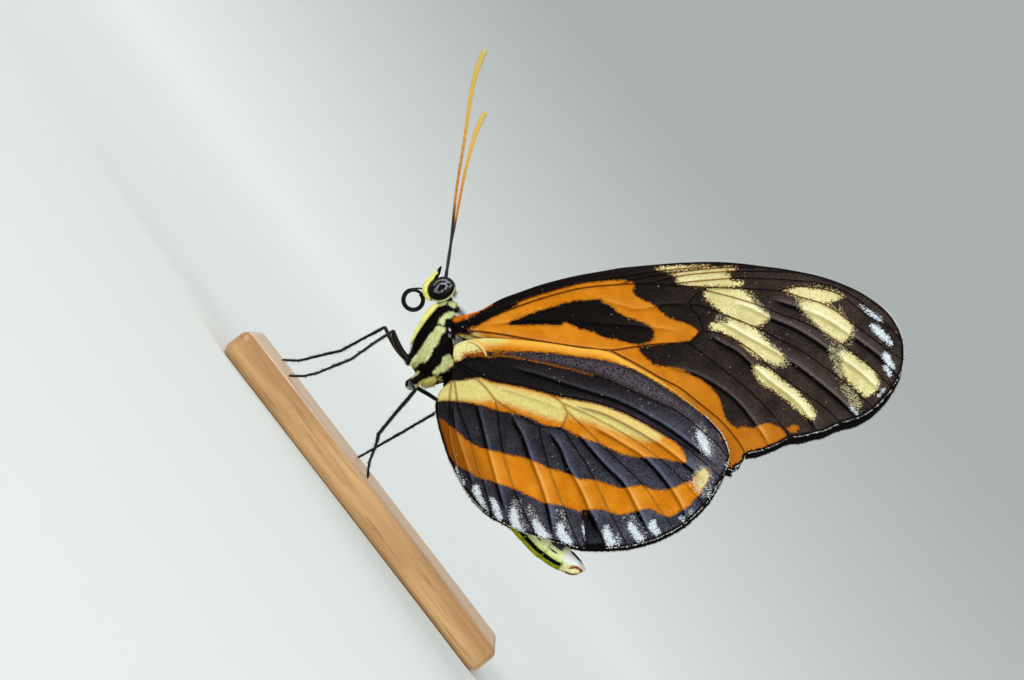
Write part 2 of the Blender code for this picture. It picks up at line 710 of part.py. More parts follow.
def make_wings():
    whole_hindwing = [[*HINDWING_FRONT, *HINDWING_BACK]]
    torn_hindwing = [HINDWING_FRONT, [HINDWING_FRONT[-1], HINDWING_TEAR], [HINDWING_TEAR, HINDWING_BACK[0]],
                     HINDWING_BACK]
    forewing = [FOREWING_OUTLINE]
    parts = [
        wing("forewing_left", forewing, FOREWING_VEINS, forewing_offset, LEFT),
        wing("forewing_right", forewing, FOREWING_VEINS, forewing_offset, RIGHT, RIGHT_FOREWING_DROP),
        wing("hindwing_left", torn_hindwing, HINDWING_VEINS, hindwing_offset, LEFT),
        wing("hindwing_right", whole_hindwing, HINDWING_VEINS, hindwing_offset, RIGHT),
    ]
    for part in parts:
        cut_clear(part, "thorax_room")
        paint(part, "wing_black" if part.name.startswith("forewing") else "wing_orange")


clear_scene()
make_base()
make_trunk()
make_head_parts()
make_proboscis()
make_legs()
make_wings()
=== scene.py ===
# The looks of a longwing butterfly: patterned wings, haired body, jointed legs and a wooden base.
# Outlines, veins and markings are read on a side view of the left wings, 1024 by 680 units, x to the right
# and y down. A unit is the forewing's length over its length in that view, as in the solids.

import math
import random

import bmesh
import bpy
import numpy as np
from mathutils import Matrix, Vector
from mathutils.geometry import delaunay_2d_cdt
from mathutils.kdtree import KDTree


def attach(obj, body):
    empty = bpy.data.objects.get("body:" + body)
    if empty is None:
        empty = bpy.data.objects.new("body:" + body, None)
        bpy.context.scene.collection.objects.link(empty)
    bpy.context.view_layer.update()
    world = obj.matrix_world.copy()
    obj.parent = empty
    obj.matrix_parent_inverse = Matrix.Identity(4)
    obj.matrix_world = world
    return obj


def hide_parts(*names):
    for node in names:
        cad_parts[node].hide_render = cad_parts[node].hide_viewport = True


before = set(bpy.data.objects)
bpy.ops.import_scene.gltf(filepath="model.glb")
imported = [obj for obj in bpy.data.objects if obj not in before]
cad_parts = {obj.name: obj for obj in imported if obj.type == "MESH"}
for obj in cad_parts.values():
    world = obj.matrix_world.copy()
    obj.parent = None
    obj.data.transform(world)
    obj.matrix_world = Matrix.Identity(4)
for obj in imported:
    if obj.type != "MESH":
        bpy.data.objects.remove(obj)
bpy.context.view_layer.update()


def path(text):
    """A line's points, written as x,y, or as stations of four numbers."""
    return [tuple(float(number) for number in point.split(",")) for point in text.split()]


def paths(text):
    """Several lines, parted by slashes."""
    return [path(line) for line in text.split("/")]


def weighted_paths(text):
    """Several lines, each after its strength and a colon."""
    return [(float(weight), path(line)) for weight, line in (part.split(":") for part in text.split("/"))]


MM = 0.001
LEFT, RIGHT = -1, 1
SIDES = {"left": LEFT, "right": RIGHT}

# The side view, as in the solids.
FOREWING_LENGTH = 40.0 * MM
HINGE = (456, 324)
APEX = (901, 350)
UNIT = FOREWING_LENGTH / math.dist(HINGE, APEX)
POSE_TURN = math.radians(52.4)
RIGHTWARD = np.array((math.cos(POSE_TURN), 0.0, math.sin(POSE_TURN)))
UPWARD = np.array((-math.sin(POSE_TURN), 0.0, math.cos(POSE_TURN)))
VIEW_POINT = (298, 365)
VIEW_POINT_PLACE = (-13.0 * MM, 4.1 * MM)
VIEW_SIZE = (1024, 680)

# The camera and the stage.
LENS = 180.0
SENSOR = 36.0
FLOOR_RADIUS = 0.7
RIM_RADIUS = 1.2
RIM_HEIGHT = 1.4

# The wings: thickness, where their middle surface lies, and the relief on it.
MEMBRANE = 0.11 * MM
BEND_STEPS = 12
FOREWING_OFFSET = 0.55 * MM
FOREWING_SHIFT = 0.12 * MM
FOREWING_HINGE_RISE = 1.15 * MM
FOREWING_HINGE_REACH = 2.6 * MM
HINDWING_OFFSET = 1.65 * MM
HINDWING_SHIFT = -0.15 * MM
HINDWING_LOBE = (463, 350)
HINDWING_LOBE_RISE = 0.95 * MM
HINDWING_LOBE_REACH = 3.0 * MM
ABDOMEN_CLEARANCE_RISE = 0.45 * MM
ABDOMEN_CLEARANCE_REACH = (1.4 * MM, 3.8 * MM)
# The right wings hang a little lower: a turn about the hinge, and a shift in the side view.
RIGHT_HANG = {"forewing": (math.radians(1.4), (0.0, 0.0)), "hindwing": (0.0, (1.3, 5.2))}
VEIN_RADIUS = (1.25, 0.7)
VEIN_HEIGHT = 0.9
INNER_VEIN_HEIGHT = 0.5
FOLD_HEIGHT = 0.15 * MM
FOLD_RISE = 8.0
FOLD_DROP = 3.6
FOLD_LINES = (-4.0, -2.4, -1.2, 0.0, 1.2, 2.4, 4.0)
LOBE_HEIGHT = 0.3 * MM
LOBE_REACH = 6.0
RIDGE_HEIGHT = 0.08 * MM
EDGE_CURL = 0.28 * MM
EDGE_CURL_REACH = 10.0
# How far a fold's painted highlight and painted shade reach from it, and where its painted crest line peaks.
FOLD_LIT = 11.0
FOLD_DARK = 8.0
FOLD_CREST = 1.2
FOLD_ENDS = 0.12
OUTLINE_STEP = 1.5
LINE_STEP = 2.2
FILL_STEP = 2.3
VEIN_LINES = (-1.0, -0.6, 0.0, 0.6, 1.0)
FAR = 14.0

FRINGE_TOP = 305
FRINGE_STEP = 0.5
FRINGE_SIZE = (0.14 * MM, 0.06 * MM)

# Where the hind wing's dark ground turns from brown to blue, going down in the side view, and where its
# colours turn greyer, going right and, in two rows, down.
HINDWING_COOL = (370, 470)
HINDWING_GREYER_RIGHT = (480, 700)
HINDWING_GREYER_ROWS = ((385, 430), (470, 520))

# A tuft's patch on the coat's map, and a wing scale.
CHART_PATCH = 0.003
SCALE_LENGTH = 0.1 * MM
SCALE_WIDTH = 0.06 * MM

FOREWING_OUTLINE = path("""
    455,322 462,316 480,310.5 500,299.5 520,292 540,285 560,279.5 580,275 600,271.5 620,268 640,266
    680,262.8 715,262 740,263.5 760,266 780,268.5 800,272 820,276.5 840,283.3 860,292.5 880,306 891.6,318
    899.5,332.6 902.8,345.8 902.5,362 899.5,373 893,385 887,394 873,408 858,417 840,422.5 825,429.5
    816.6,431.5 802,435.5 790,437 778,443 761,449.7 750,452 745,455 742,462 735,466 728,468 660,432 600,400
    520,362 458,335
""")
FOREWING_MARGIN = [(640, 266), (728, 468)]
FOREWING_VEINS = paths("""
    459,325 500,309 540,294 580,283 620,277 660,271 700,267 735,263 /
    459,326 500,313 540,299 580,288.5 620,284.5 650,284 680,286 700,287 740,288.5 778,291 800,297 820,303
    835,311 850,322 868,335 885,348 901,359 /
    646,284 680,276 720,272 760,271.5 800,272.5 /
    670,284 710,280 740,278 770,279 800,281 820,283.5 840,289.5 855,298 870,309 893,330 /
    778,291 788,288 800,286.5 815,288 830,291 843,297 856,307 868,317 880,323 892,331 900,340 /
    620,284.5 640,278 680,272 720,268 770,267 /
    704,290 735,298 760,306 780,314 800,321 820,331 840,343.5 860,358 876,372 891.6,388 /
    689,305 700,305.5 712,310 740,321 760,329.5 780,340 800,350 820,364 840,379 860,396 873,408 /
    704,331.5 722,334 740,343 755,353 770,368 790,383 810,397 825,408 839.6,422 /
    688,342 700,352 720,367 740,383 760,401 775,418 790,437 /
    610,350 640,366 660,377.5 680,388 700,403.7 722,422 739,443 745,454 /
    460,328 468,330 500,334 540,341 580,347 610,350 630,347.5 650,344.5 688,341.8 696,336 704,331 /
    704,331 701,324 698,316 692,311 689.5,303 /
    689.5,303 690,300 697,294 704,290 /
    459,331 520,352 600,389 660,421 730,463
""")
# Each fold: its strength, then its line from the root outwards, with the lit side above it.
FOREWING_FOLDS = weighted_paths("""
    1: 770,299 790,305 810,312 820,316 834,324 848,333.5 862,343 880,357 897,375 /
    1: 730,302 750,308 768,317 790,326 810,337 830,351 846,362 862,374 878,389 884,396 /
    1: 712,320 728,325.5 745,335 765,346 783,357 800,367.5 820,383 840,400 857,417 /
    0.9: 706,333 720,342 738,352 753,366 770,381 790,396 803,409 817,430 /
    0.7: 665,366 690,372 708,380 725,391 739,403 751,418 762,433 769,446 /
    0.35: 480,326 520,321 560,320 600,323 640,326 680,331 /
    0.3: 600,299 620,305 640,309 665,304 685,304 /
    0.6: 474,335 500,337.5 540,343.5 580,349.5 610,354 640,371 680,400 716,432
""")
FOREWING_BLACK = path("""
    477,319 488,313.5 500,309.5 520,301 540,294.5 560,288.5 580,283.5 600,281 618,280 631,281.5 634.5,286
    633,292 640,298.5 650,303 657,308 662,312.5 668,317 676,320.5 684,322.5 693,326.5 698,331 695,336
    688,341 670,343.5 650,345.5 638,347 641,353 648,359 654,364.5 668,366.5 680,369 692,375 704,381 714,391
    720,400 723,411 726,419 731,424 737,428 743,425.5 752,428 758,425 766,423 776,425.5 784,431.5 789,441
    800,460 900,460 960,400 950,250 700,230 520,260 470,300 470,316
""")
FOREWING_ROOT_DARK = path("""
    450,326 455,325 460,323.5 466,319.5 474,315.5 482,311.5 490,307.5 500,303.5 512,303 519,305 507,310
    494,316.5 484,322 477,326 470,328 467,330.5 474,331.5 469,334 460,334 451,333
""")
FOREWING_OLIVE = path("""
    462,336 465,333 471,332 478,335 481,339 478,344 464,344
""")
FOREWING_STREAK = path("""
    508,323.5 520,318 535,312 550,308 560,304.5 570,302 580,300.5 590,300 600,299.5 605,304 612,307 618,313
    628,318 640,321.5 650,327 654,333.5 652,340 644,343.5 635,344 625,342 612,338.5 603,337 595,332.5
    588,330 580,329 572,325 565,322.5 558,325.5 545,324.5 530,325 518,325
""")
FOREWING_ROOT = path("""
    448,318 455,315 464,310 478,305 490,301 494,303.5 487,308 478,312.5 470,316.5 464,320 459,323.5 454,325
    449,325
""")
FOREWING_BLOTCH = path("""
    787,428 793,424.5 799,427 796,432 790,432.5
""")
FOREWING_YELLOW = paths("""
    655,268.8 662,267.2 680,266.2 700,265.8 711,266.3 700,268.3 685,270.2 672,271.8 664,270.8 /
    671,273.5 676,271.5 690,270 703,268.5 718,267.8 730,267.2 736,268 726,271.5 723,273.5 730,277 729.5,281
    736,281.3 742.5,282.3 738,285.8 728,286.8 715,286.6 700,286.3 688,285 680,283.5 676,281 677,277.5 /
    704,295 707,290 714,288.5 726,288.3 738,289.5 744,292 750,297 753,302 758,308 764,313.5 769,317 766,321
    760,324.5 752,326 742,322 732,318 724,313.5 717,308.5 710,302.5 /
    709,327 711,323.5 718,322.5 727,323 728.5,319 733,319.3 741,321.5 752,326.5 758,333 765,341 774,349
    782,356 783,361 776,364 767,361.5 756,356 745,347 734,338.5 722,332 713,329.5 /
    753,368 757,366 764,368 771,371 780,379 792,388 803,398.5 810,406 815,413.5 813,418.5 806,416.5 796,408
    786,400 776,391.5 765,386 757,378 /
    783,290.5 790,289 797,287 808,288 820,289.5 831,291 838,293.5 843,296.5 838,299 831,300.5 829,302.8
    820,302.3 810,300.5 800,298 790,293.5 /
    801,304 808,301 816,301.5 825,305 835,311 843,317 850,323 852,329 849,335 845,340 839,342 832,337
    825,331.5 818,325 811,318 804,311 /
    840,353 846,352.5 853,355.5 860,361 868,367 875,375 878,382 877,388 873,393 866,396 860,392 852,385
    845,377 841.5,368 842,360
""")
# Thin scatters of pale scales: how dense each is, then its outline.
FOREWING_SCATTER = weighted_paths("""
    0.45: 794,300 804,298 812,308 818,322 830,333 842,344 850,338 852,330 856,330 850,345 838,348 820,332
    804,316 /
    0.6: 828,345 838,347 850,352 842,360 843,380 836,376 830,360 /
    0.6: 840,382 850,386 858,396 862,406 858,413 852,408 846,398 841,390 /
    0.35: 805,283 820,284 838,290 842,294 820,288 808,286 /
    0.4: 741,289 752,291 758,300 768,310 766,318 756,306 748,294 /
    0.4: 758,326 768,338 778,348 790,362 786,368 770,366 780,356 762,340 /
    0.35: 716,314 726,314 728,320 718,321 /
    0.3: 828,303 842,306 846,316 838,310
""")
FOREWING_WHITE = paths("""
    859,304.5 865,307 872,311 879,316 884,320.5 879,321.5 872,317.5 866,312.5 /
    871,324 876,325.5 884,332 889.5,338 892.5,345.5 888,344.5 881,339 875,334 870,328 /
    882,352 887,352.5 890.5,359 893.5,366 892.5,369 886,363.5 881.5,357 /
    882.5,365 887,366 890.5,371 891.5,376.5 887,375 883.5,370 /
    879,389.5 884,388 883.5,392 878,397 875.5,395.5 880,392 /
    850,405 852,407 858,413.5 855.5,414 850,408.5 /
    457.5,325 462,324.4 468,321.6 469,322.6 463,325.6 458,326.4
""")

HINDWING_FRONT = path("""
    456,364 453.5,356 455,346 460,342.5 468,340 480,338.5 500,338.5 540,342 580,348 608,352 640,369
    660,380.6 680,395 700,411.6 719,431 727,448 728,459 722,475 711,495 703,505 694,514 685,522 672,530
    655,538 640,542.5 625,545.5 604,547
""")
HINDWING_TEAR = [(592, 517), (584, 511), (583.5, 523)]
HINDWING_BACK = path("""
    586,547 580,546.5 560,542 540,536.4 520,530 510,525 500,519 490,514 480,506 470,495 460,480 450,460.5
    445,447.5 440,431 437,418 435.5,407 437,398.5 441,390 447,384 451,378 453,372
""")
HINDWING_MARGIN = [(706, 416), (437, 400)]
# The front edge curls inwards here, under a painted highlight, and the back edge is in painted shade here.
HINDWING_CURLED_EDGE = HINDWING_FRONT[5:14]
HINDWING_SHADY_EDGE = HINDWING_BACK[10:16]
HINDWING_VEINS = paths("""
    458,362 470,360 487,357.5 505,356 541,362.6 560.5,366.7 600,377 620,385.5 640,394.4 660,403.4 680,413
    700,429.5 717,444 726,456 /
    461,364 485.5,377 500,381.4 520,384.7 540,389.6 560,395 580,398.5 600,402.6 620,410 640,419.7 660,431
    680,442.6 700,459 720.4,477 /
    548,392 557,398.5 563,404 567.9,411.6 586.6,429.5 600,442.6 620,462 640.5,481.7 655,501 671.5,525.8 /
    563.8,403.4 593,416.5 620,431 640.5,444 660,459 679.6,477 691,490 704,504.6 /
    567.5,412 565,420 560.5,428.7 /
    460,367 479,380.6 487,388.7 496,399.3 511.6,410 528,419.7 537.7,425.4 560.5,428.7 572,442.6 586.6,465
    600,491.5 609.5,511 625.8,542 /
    539,425.4 542.6,444 550.7,472 560.5,498 570,524 580,547 /
    496,400 498.5,421 503,451 511.6,480 519.7,503 534.4,532 /
    455,380.6 457,395 460,411.6 469,434 479,467 485.5,490 492,514 /
    452,380 450,402 450.4,431 455,454 462,478
""")
HINDWING_FOLDS = weighted_paths("""
    0.8: 505,366 540,375 580,388 620,401 660,422 690,443 712,461 /
    0.9: 572,404 600,411 620,420 640,431 656,441 670,451 685,463 702,477 /
    0.9: 590,424 620,441 643,456 662,476 677,497 686,516 /
    1: 576,430 590,447 606,465 624,483 636,505 648,530 /
    0.9: 548,430 560,446 568,466 580,487 590,510 598,527 /
    1: 510,413 522,433 530,455 540,480 548,505 553,530 /
    0.7: 476,398 483,425 490,455 497,480 505,508 /
    0.3: 500,387 525,395 545,402 560,408 /
    0.4: 453,402 456,428 463,452 474,486 /
    0.9: 467,339 474,341.5 480,345.5 484,350 487,357
""")
# The orange costa, lobe, rib, first band, second band and spot.
HINDWING_ORANGE = paths("""
    483,351 500,351 520,351.5 540,352 560,354 580,357 600,359.5 620,364.5 640,372.5 660,384 680,397
    700,412.5 714,428 722,441 735,440 712,402 680,380 640,356 608,340 540,330 490,328 476,332 480,342 /
    449,356 451,350 456,343 463,337 474,336 486,337 487,343 487,350 487,357.5 481,356.6 475,356.6 469,356.4
    465,357.5 462,360 457,361.5 451,361 /
    486,355.8 505,355 530,359.2 560,365.7 590,373.6 590,375.2 560,367.6 530,361.2 505,357.2 487,357.6 /
    438,393 444,386 452,381 462,380 474,378 480,377.5 490,381 500,383 520,386.5 540,391.5 560,397 580,400.5
    600,404.5 620,412 640,421.5 660,433 672,440 680,447 685,456 685,462.5 676,461.5 664,459 655,457.5
    640,457 625,455 610,448.5 600,443.5 590,440.5 575,434.5 566,429 560,427 545,425 530,418 510,412.5
    495,409.5 480,404.5 460,401.5 447,401 432,402 /
    432,417 443,419.5 450,425 460,433 468,440 480,446.5 490,449.5 500,452 510,454 520,456 530,459 540,463
    550,468 560,470 570,474 580,478 590,478.5 600,481 610,484 620,487.5 630,486 640,484.5 650,488 660,489.5
    670,488 680,483.5 690,481 697,483 701,490 699,495 692,500 690,505 680,510 670,516 660,514 650,508.5
    640,510 630,512.5 620,514 610,512 600,509 590,509.5 580,510.5 570,508 560,505 550,503.5 540,501 530,496
    520,491 510,487 500,484 490,480 480,477.5 470,472 460,466.5 452,459 444,449 436,436 /
    691,480 695,474 700,469 706,468 709,473 708,480 704,486 700,491 695,489
""")
HINDWING_RIB = path("""
    463,360 470,356.5 486,356.5 505,356 530,360.2 560,366.5 600,377
""")
# Where the first band is pale yellow.
HINDWING_CREAM = paths("""
    466,334 480,335 496,336 506,339 496,342 486,343 478,342 /
    434,390 444,384 454,379 478,378 490,384 508,388 520,391 500,396 480,399 460,399 446,399 434,400 /
    490,386 510,388 530,393 550,398 562,404 563,418 548,416 528,409 508,402 494,399 /
    560,400 580,401.5 600,406 625,414 650,428 660,437 648,439 630,434 606,426 586,419 572,415 /
    697,467 708,464 713,474 708,485 701,489 698,483 697,474
""")
HINDWING_LOBE_PALE = path("""
    449,354 451,348 457,342 464,338.5 470,340.2 475.5,344.5 479,348.5 479.5,350.5 474,351.2 468,352.2
    463.5,354.6 460.5,358.5 457,360.5 452,360
""")
HINDWING_RIDGE = path("""
    468,339.5 475,340.8 481,345.2 485,350.5 487.3,356.5 485.8,356.5 482.8,350.8 478.8,346 474,342.6
    469,341.2
""")
# Where the dark ground is dusted with grey scales.
HINDWING_DUST = paths("""
    500,353 540,354 580,359 620,367 660,389 690,412 712,436 700,427 680,411 640,392 600,374 560,364 530,358
    /
    690,460 712,478 725,465 724,450 712,444 704,456
""")
HINDWING_WHITE = paths("""
    697,432 700,430.5 704,435 707,440 708.5,446 709.5,452 707.5,455.5 704.5,452 701,447 698.5,441 696,436.5
    /
    456,466 459,468 461,474 464,481 466,486 462,482 458,476 456,470 /
    474,484 478,485 480,490 483,498 487,506 489.5,511 485,509 480,503 476,496 473,490 /
    490.5,496 495,499 499,506 501.5,514 502,520 498,520 494.5,513 491.5,505 /
    511,507 515.5,507 517.5,515 520,524 526,533 521,532 515,529 511,522 510,514 /
    533,519 538,521 543,527 548,533 551,538 545,538.5 539,536 535,529 /
    558,523 562,523.5 565,530 569,536 573,543.5 567,543 561,541 558,536 556.5,529 /
    582.5,521 584.5,527 587.5,536 589,543 586,542 583.5,535 582,528 /
    604,526 607.5,524 610,530 613,537 615,544.5 609,545 604.5,539 602,531 /
    616,535 618,534 619.5,540 619,544 616.5,543 /
    628.5,521.5 633,524 638,530.5 644,536.5 642,540.5 636,540 632,534 628,528 /
    649,521.5 653.5,519 656.5,526 660,532 656.5,535.5 651,530.5 648,526 /
    680.4,516 682.6,516 684.4,519 682,520.6 679.8,518.8 /
    689,510 691.4,509.6 692.6,511.6 690.6,513.4 688.6,512.4 /
    708,492.8 710.2,492.4 711,494.6 709.2,496.4 707.6,495.4 /
    713.8,486.4 715.6,485.8 716,487.8 714.4,488.4 /
    724.4,462 727,461 727.4,464 725.4,464.6
""")
HINDWING_SCATTER = weighted_paths("""
    0.45: 527,505 532,506 538,516 544,526 552,538 540,539 532,524 /
    0.3: 512,497 520,500 524,515 528,530 518,528 512,512 /
    0.3: 692,470 700,464 712,468 712,486 706,498 692,490 688,480 /
    0.2: 556,508 566,512 572,530 574,542 560,540 555,525 /
    0.2: 622,514 634,516 646,530 644,540 630,536 /
    0.3: 692,426 702,424 712,438 714,454 704,458 692,440
""")

# The body's stations, as in the solids: x, y, half depth in the side view and half width in millimetres.
THORAX = path("""
    448,302,9,0.8 447,310,14,1.45 446,320,19,1.85 444,332,24,2.1 441.5,345,28,2.15 439.5,359,29.5,2.05
    438,371,26,1.8 437,378,20,1.35 438.5,383,10.5,0.7
""")
ABDOMEN = path("""
    450.5,376,7.5,0.6 452.5,389,9.2,0.85 462,425,13,1.25 481,464,14.5,1.35 510,506,14.5,1.35 540,542,14,1.3
    564,559.5,13,1.1 577,567,8.5,0.75 583,570,3.5,0.3
""")
HEAD = path("""
    429.5,296,4,0.25 432,294,8,0.5 437,291,10,0.68 442,289,10.5,0.75 447,287,9.5,0.68 451.5,285,6.5,0.45
    453.5,284,3,0.2
""")
NECK = [(443, 291, 5.4, 0.5), (447, 304, 5.4, 0.5)]
ABDOMEN_LINE = [station[:2] for station in ABDOMEN]
FOREWING_BOSS = (457, 322, 1.45 * MM, 0.75 * MM)
HINDWING_BOSS = (457, 367, 1.85 * MM, 0.85 * MM)
COXAE = [((428, 347, 0.8 * MM), (411, 360, 1.0 * MM)), ((428, 371, 0.7 * MM), (411, 384, 1.1 * MM))]
COXA_RADIUS = 0.5 * MM
SKIN_DEPTH = 0.07 * MM
SKIN_GRAIN = 0.075 * MM
# Where each segment of the abdomen ends, in side-view units before the tip.
SEAMS = (223, 197, 171, 145, 119, 93, 67, 43, 23)
SEGMENT_STEP = 0.05

# The body's markings in the side view.
BODY_CREAM = paths("""
    440,325 445,327 446,330 443,333 441,338 438,344 434,348 433,352 430,358 425,361 420,362 415,367
    410.5,365 412,360 417,354 421,348 425,342 428,337 431,333 435,330 437,326 /
    439,322 441,317 446,313 451,310.5 456,313.5 453,317 448,318 445,320 445.5,324 441,323.5 /
    448,301 453,301.5 456,303 454,307 450,306 448.5,303.5 /
    443,357 447,353.5 451,354.5 453.5,359 454,364 450,367 446,370 441,371.5 438,374 433.5,372 435,369
    440,364 443,361 /
    410,377 413,371.5 417,370 420.5,370.5 417,375 412,378 /
    437,303 442,301.6 447,300.8 446.5,303.6 442,305.4 438,305.4
""")
BODY_WHITE = paths("""
    455,313 459,312 462,315 460,318 456,316 /
    408.5,384.8 413,385.6 415,383.6 416.8,384.2 419,386.8 417,388 415,386.6 413,387.8 409.5,387 /
    448.8,328 450.4,328 450.6,329.6 449,329.6 /
    449.2,334 450.6,334 450.8,335.4 449.4,335.6
""")
BODY_YELLOW = paths("""
    416,385.5 419,381.5 423,379.6 429,376.8 434,375.6 438.2,377.6 437.6,380.6 435,384 432,388 420,389 /
    438.8,378.7 441.3,376.1 443.9,378.7 441.3,381.3
""")
# The two valves at the abdomen's tip.
VALVE = (571.5, 569.2)
VALVE_OFFSET = 0.36 * MM
VALVE_RADII = (9.3 * UNIT, 5.4 * UNIT, 0.42 * MM)
VALVE_TILT = math.radians(-8)
VALVE_RUST = paths("""
    568.5,567.6 571,565.6 575,565.3 579,566.8 581.4,569.8 581.4,572.8 579.7,572.8 579,570.5 576.8,568.5
    573.5,567.5 570,568.6 /
    563.4,571.2 566,573 570,574.7 575,575.4 579,574 577,573.3 572,573.5 567,571.7
""")
TAIL_WHITE = paths("""
    561.5,556.5 566,552 571.5,548 579,557 589,567 585,571.5 578,566 570,563.5 563,560
""")
BODY_MARKINGS = {
    "cream": BODY_CREAM, "white": BODY_WHITE, "yellow": BODY_YELLOW, "rust": VALVE_RUST, "tip": TAIL_WHITE,
}
PALP_YELLOW = path("""
    431,303 424,299 421,291 421.8,284 426,278 431,273.5 436,269.5 438.2,270 437.4,273 435.2,277 432,281.4
    428.8,285.6 427.8,291 430.2,299
""")
EYE_CENTRE = (441.5, 288.5)
EYE_AXES = (14, 11)
EYE_TILT = math.radians(33)
EYE_HALF_WIDTH = 0.7 * MM
EYE_OFFSET = 0.82 * MM
# The grey lines on the eye, and the brighter knots where they meet.
EYE_LINES = paths("""
    434.8,284.8 437,282.4 439.6,280.6 442.6,279.7 445.4,279.9 447.8,281.3 450,282.9 /
    438,286.2 440,284.4 443,283.6 445.6,284.2 446.4,286.2 445.6,288.6 443.9,290.8 441.8,292 /
    438,286.2 436.8,288.7 434.6,291.2 437.6,291.7 438.4,292.7 441.8,292 /
    445.6,284.2 447.2,282.4 /
    446.4,286.4 448.6,286.4 450.8,286.6 451.4,285
""")
EYE_KNOTS = path("""
    447.8,286.4 450.8,286.7 442.4,291 435.8,291.2 446.4,284.2
""")
EYE_KNOT_SIZE = 0.5
EYE_LINE_WIDTH = 0.62
EYE_RIM_SPAN = (-32, -165)
EYE_RIM_GAP = 0.6
EYE_RIM_OFFSET = 0.74 * MM
EYE_RIM_RADIUS = 0.1 * MM
TEGULA = (458, 319.5)
TEGULA_OFFSET = 2.0 * MM
TEGULA_RADII = (5.5 * UNIT, 2.6 * UNIT, 0.3 * MM)
TEGULA_TILT = math.radians(24)
# Long hairs: a name, the solid they grow on, where their roots lie in the side view, their two colours, their
# number to a square metre, their length and how far they stand off.
RUFFS = [
    ("neck_hair", "thorax", path("449,293 454,290 462,300 465,316 458,316 457,305 452,299"),
     ((0.16, 0.14, 0.13, 1.0), (0.5, 0.48, 0.46, 1.0)), 90e6, 0.75 * MM, 0.75),
    ("root_hair", "thorax", path("453,336 459,334 463,339 459,346 453,347"),
     ((0.3, 0.28, 0.26, 1.0), (0.62, 0.6, 0.55, 1.0)), 160e6, 0.34 * MM, 0.5),
    ("under_hair", "thorax", path("416,385 419,382.5 427,380.5 436,380 436,384 430,389 418,390"),
     ((0.6, 0.52, 0.12, 1.0), (0.9, 0.84, 0.4, 1.0)), 80e6, 0.42 * MM, 0.6),
    ("chest_hair", "thorax", path("424,300 434,300 428,316 418,334 412,356 404,366 404,340 414,318"),
     ((0.01, 0.009, 0.009, 1.0), (0.14, 0.12, 0.1, 1.0)), 60e6, 0.5 * MM, 0.6),
    ("tail_brush", "abdomen", path("577,559 582,563 587,567 586,572 580,567.5"),
     ((0.6, 0.6, 0.58, 1.0), (0.95, 0.95, 0.93, 1.0)), 260e6, 0.34 * MM, 0.3),
]

# Thin parts: x, y, distance from the middle plane and radius, both in millimetres.
PALP = path("""
    434,299,0.45,0.16 428,297,0.6,0.25 425.6,290,0.72,0.28 428,283,0.75,0.3 434.4,277,0.7,0.28
    438,272.2,0.66,0.22 441,266.8,0.62,0.06
""")
FORELEG = path("""
    438.5,304.5,0.75,0.13 436,306.5,0.8,0.25 431,311,0.86,0.29 425,318.5,0.9,0.27 420.5,326,0.9,0.19
    417,331,0.86,0.19 413.5,338,0.8,0.14 410.5,344,0.74,0.05
""")
ANTENNAE = {
    "left": path("""
        446,283,0.42,0.13 446,275,0.5,0.14 449.8,254,0.85,0.125 456.5,192.6,2.1,0.125 464.2,145,3.2,0.14
        471.8,95,4.4,0.19 477.6,72,4.95,0.25 481.8,61,5.2,0.28 484.6,55.5,5.35,0.25 486,53,5.4,0.12
    """),
    "right": path("""
        446,283,0.42,0.13 446.5,275,0.6,0.14 449,252,2,0.125 456.5,212,5,0.125 464,170,8.6,0.14
        472,137,11.6,0.19 477,121,13.1,0.25 481.2,111.5,13.9,0.28 483.6,107,14.2,0.25 484.8,105,14.35,0.12
    """),
}
ANTENNA_RINGS = 28
COIL_CENTRE = (413.5, 300)
COIL_RADII = (0.71 * MM, 1.06 * MM)
COIL_TURNS = 2.9
COIL_STEPS = 72
COIL_SIZE = (0.084 * MM, 0.16 * MM)
COIL_END = math.radians(78)
PROBOSCIS_STEM = path("""
    420,288.4 424,289.3 429,291.5 434,296
""")
# Each leg: the stations of its femur, then those from knee to foot.
LEGS = {
    "midleg_left": paths("""
        414,362.5,0.55,0.24 409,360,1.2,0.29 402.5,352.5,1.8,0.31 398,344,2.3,0.3 395,336,2.7,0.25
        394,331,3,0.18 /
        394,331,3,0.15 375,343,3.7,0.12 352,359.5,4.5,0.12 335,366,4.8,0.11 322,371,5.1,0.1 310,373,5.3,0.1
        296,372,5.5,0.09
    """),
    "midleg_right": paths("""
        416,362,0.9,0.2 408,360,1.2,0.22 401,354.5,1.8,0.23 394.5,346,2.4,0.23 389,337,2.9,0.2
        384,327,3.2,0.16 /
        384,327,3.2,0.15 362,338.5,3.9,0.12 339,351,4.6,0.12 320,355,4.9,0.11 300,358.5,5.2,0.1
        284,357,5.5,0.09
    """),
    "hindleg_left": paths("""
        417,379,1,0.2 411,383,1.9,0.22 416,390,5,0.17 /
        416,390,5,0.18 398,411,5,0.16 380,433,5,0.15 378,445,5,0.11 374,458,5.2,0.1 373.5,473,5.4,0.09
    """),
    "hindleg_right": paths("""
        417,380,1,0.2 413,385,1.9,0.22 430,396,3.1,0.2 446,407,4.2,0.17 /
        446,407,4.2,0.15 422,421,4.7,0.12 398,435,5.2,0.12 380,445,5.4,0.1 360,456,5.6,0.09
    """),
}
TARSUS_SHARE = 0.42
TARSUS_JOINTS = 5
SPINES_AROUND = 3
# The spines' lengths in millimetres and their radius, then the length and radius of a spur and of a claw.
SPINE_LENGTHS = (0.14, 0.3)
SPINE_RADIUS = 0.02 * MM
SPUR = (0.55 * MM, 0.03 * MM)
CLAW = (0.26 * MM, 0.035 * MM)
BASE_TOP = 3.0 * MM

# The parts of the side view that the head and the abdomen fill.
HEAD_REACH = (460, 304)
ABDOMEN_TOP = 380
ABDOMEN_REACH = 20
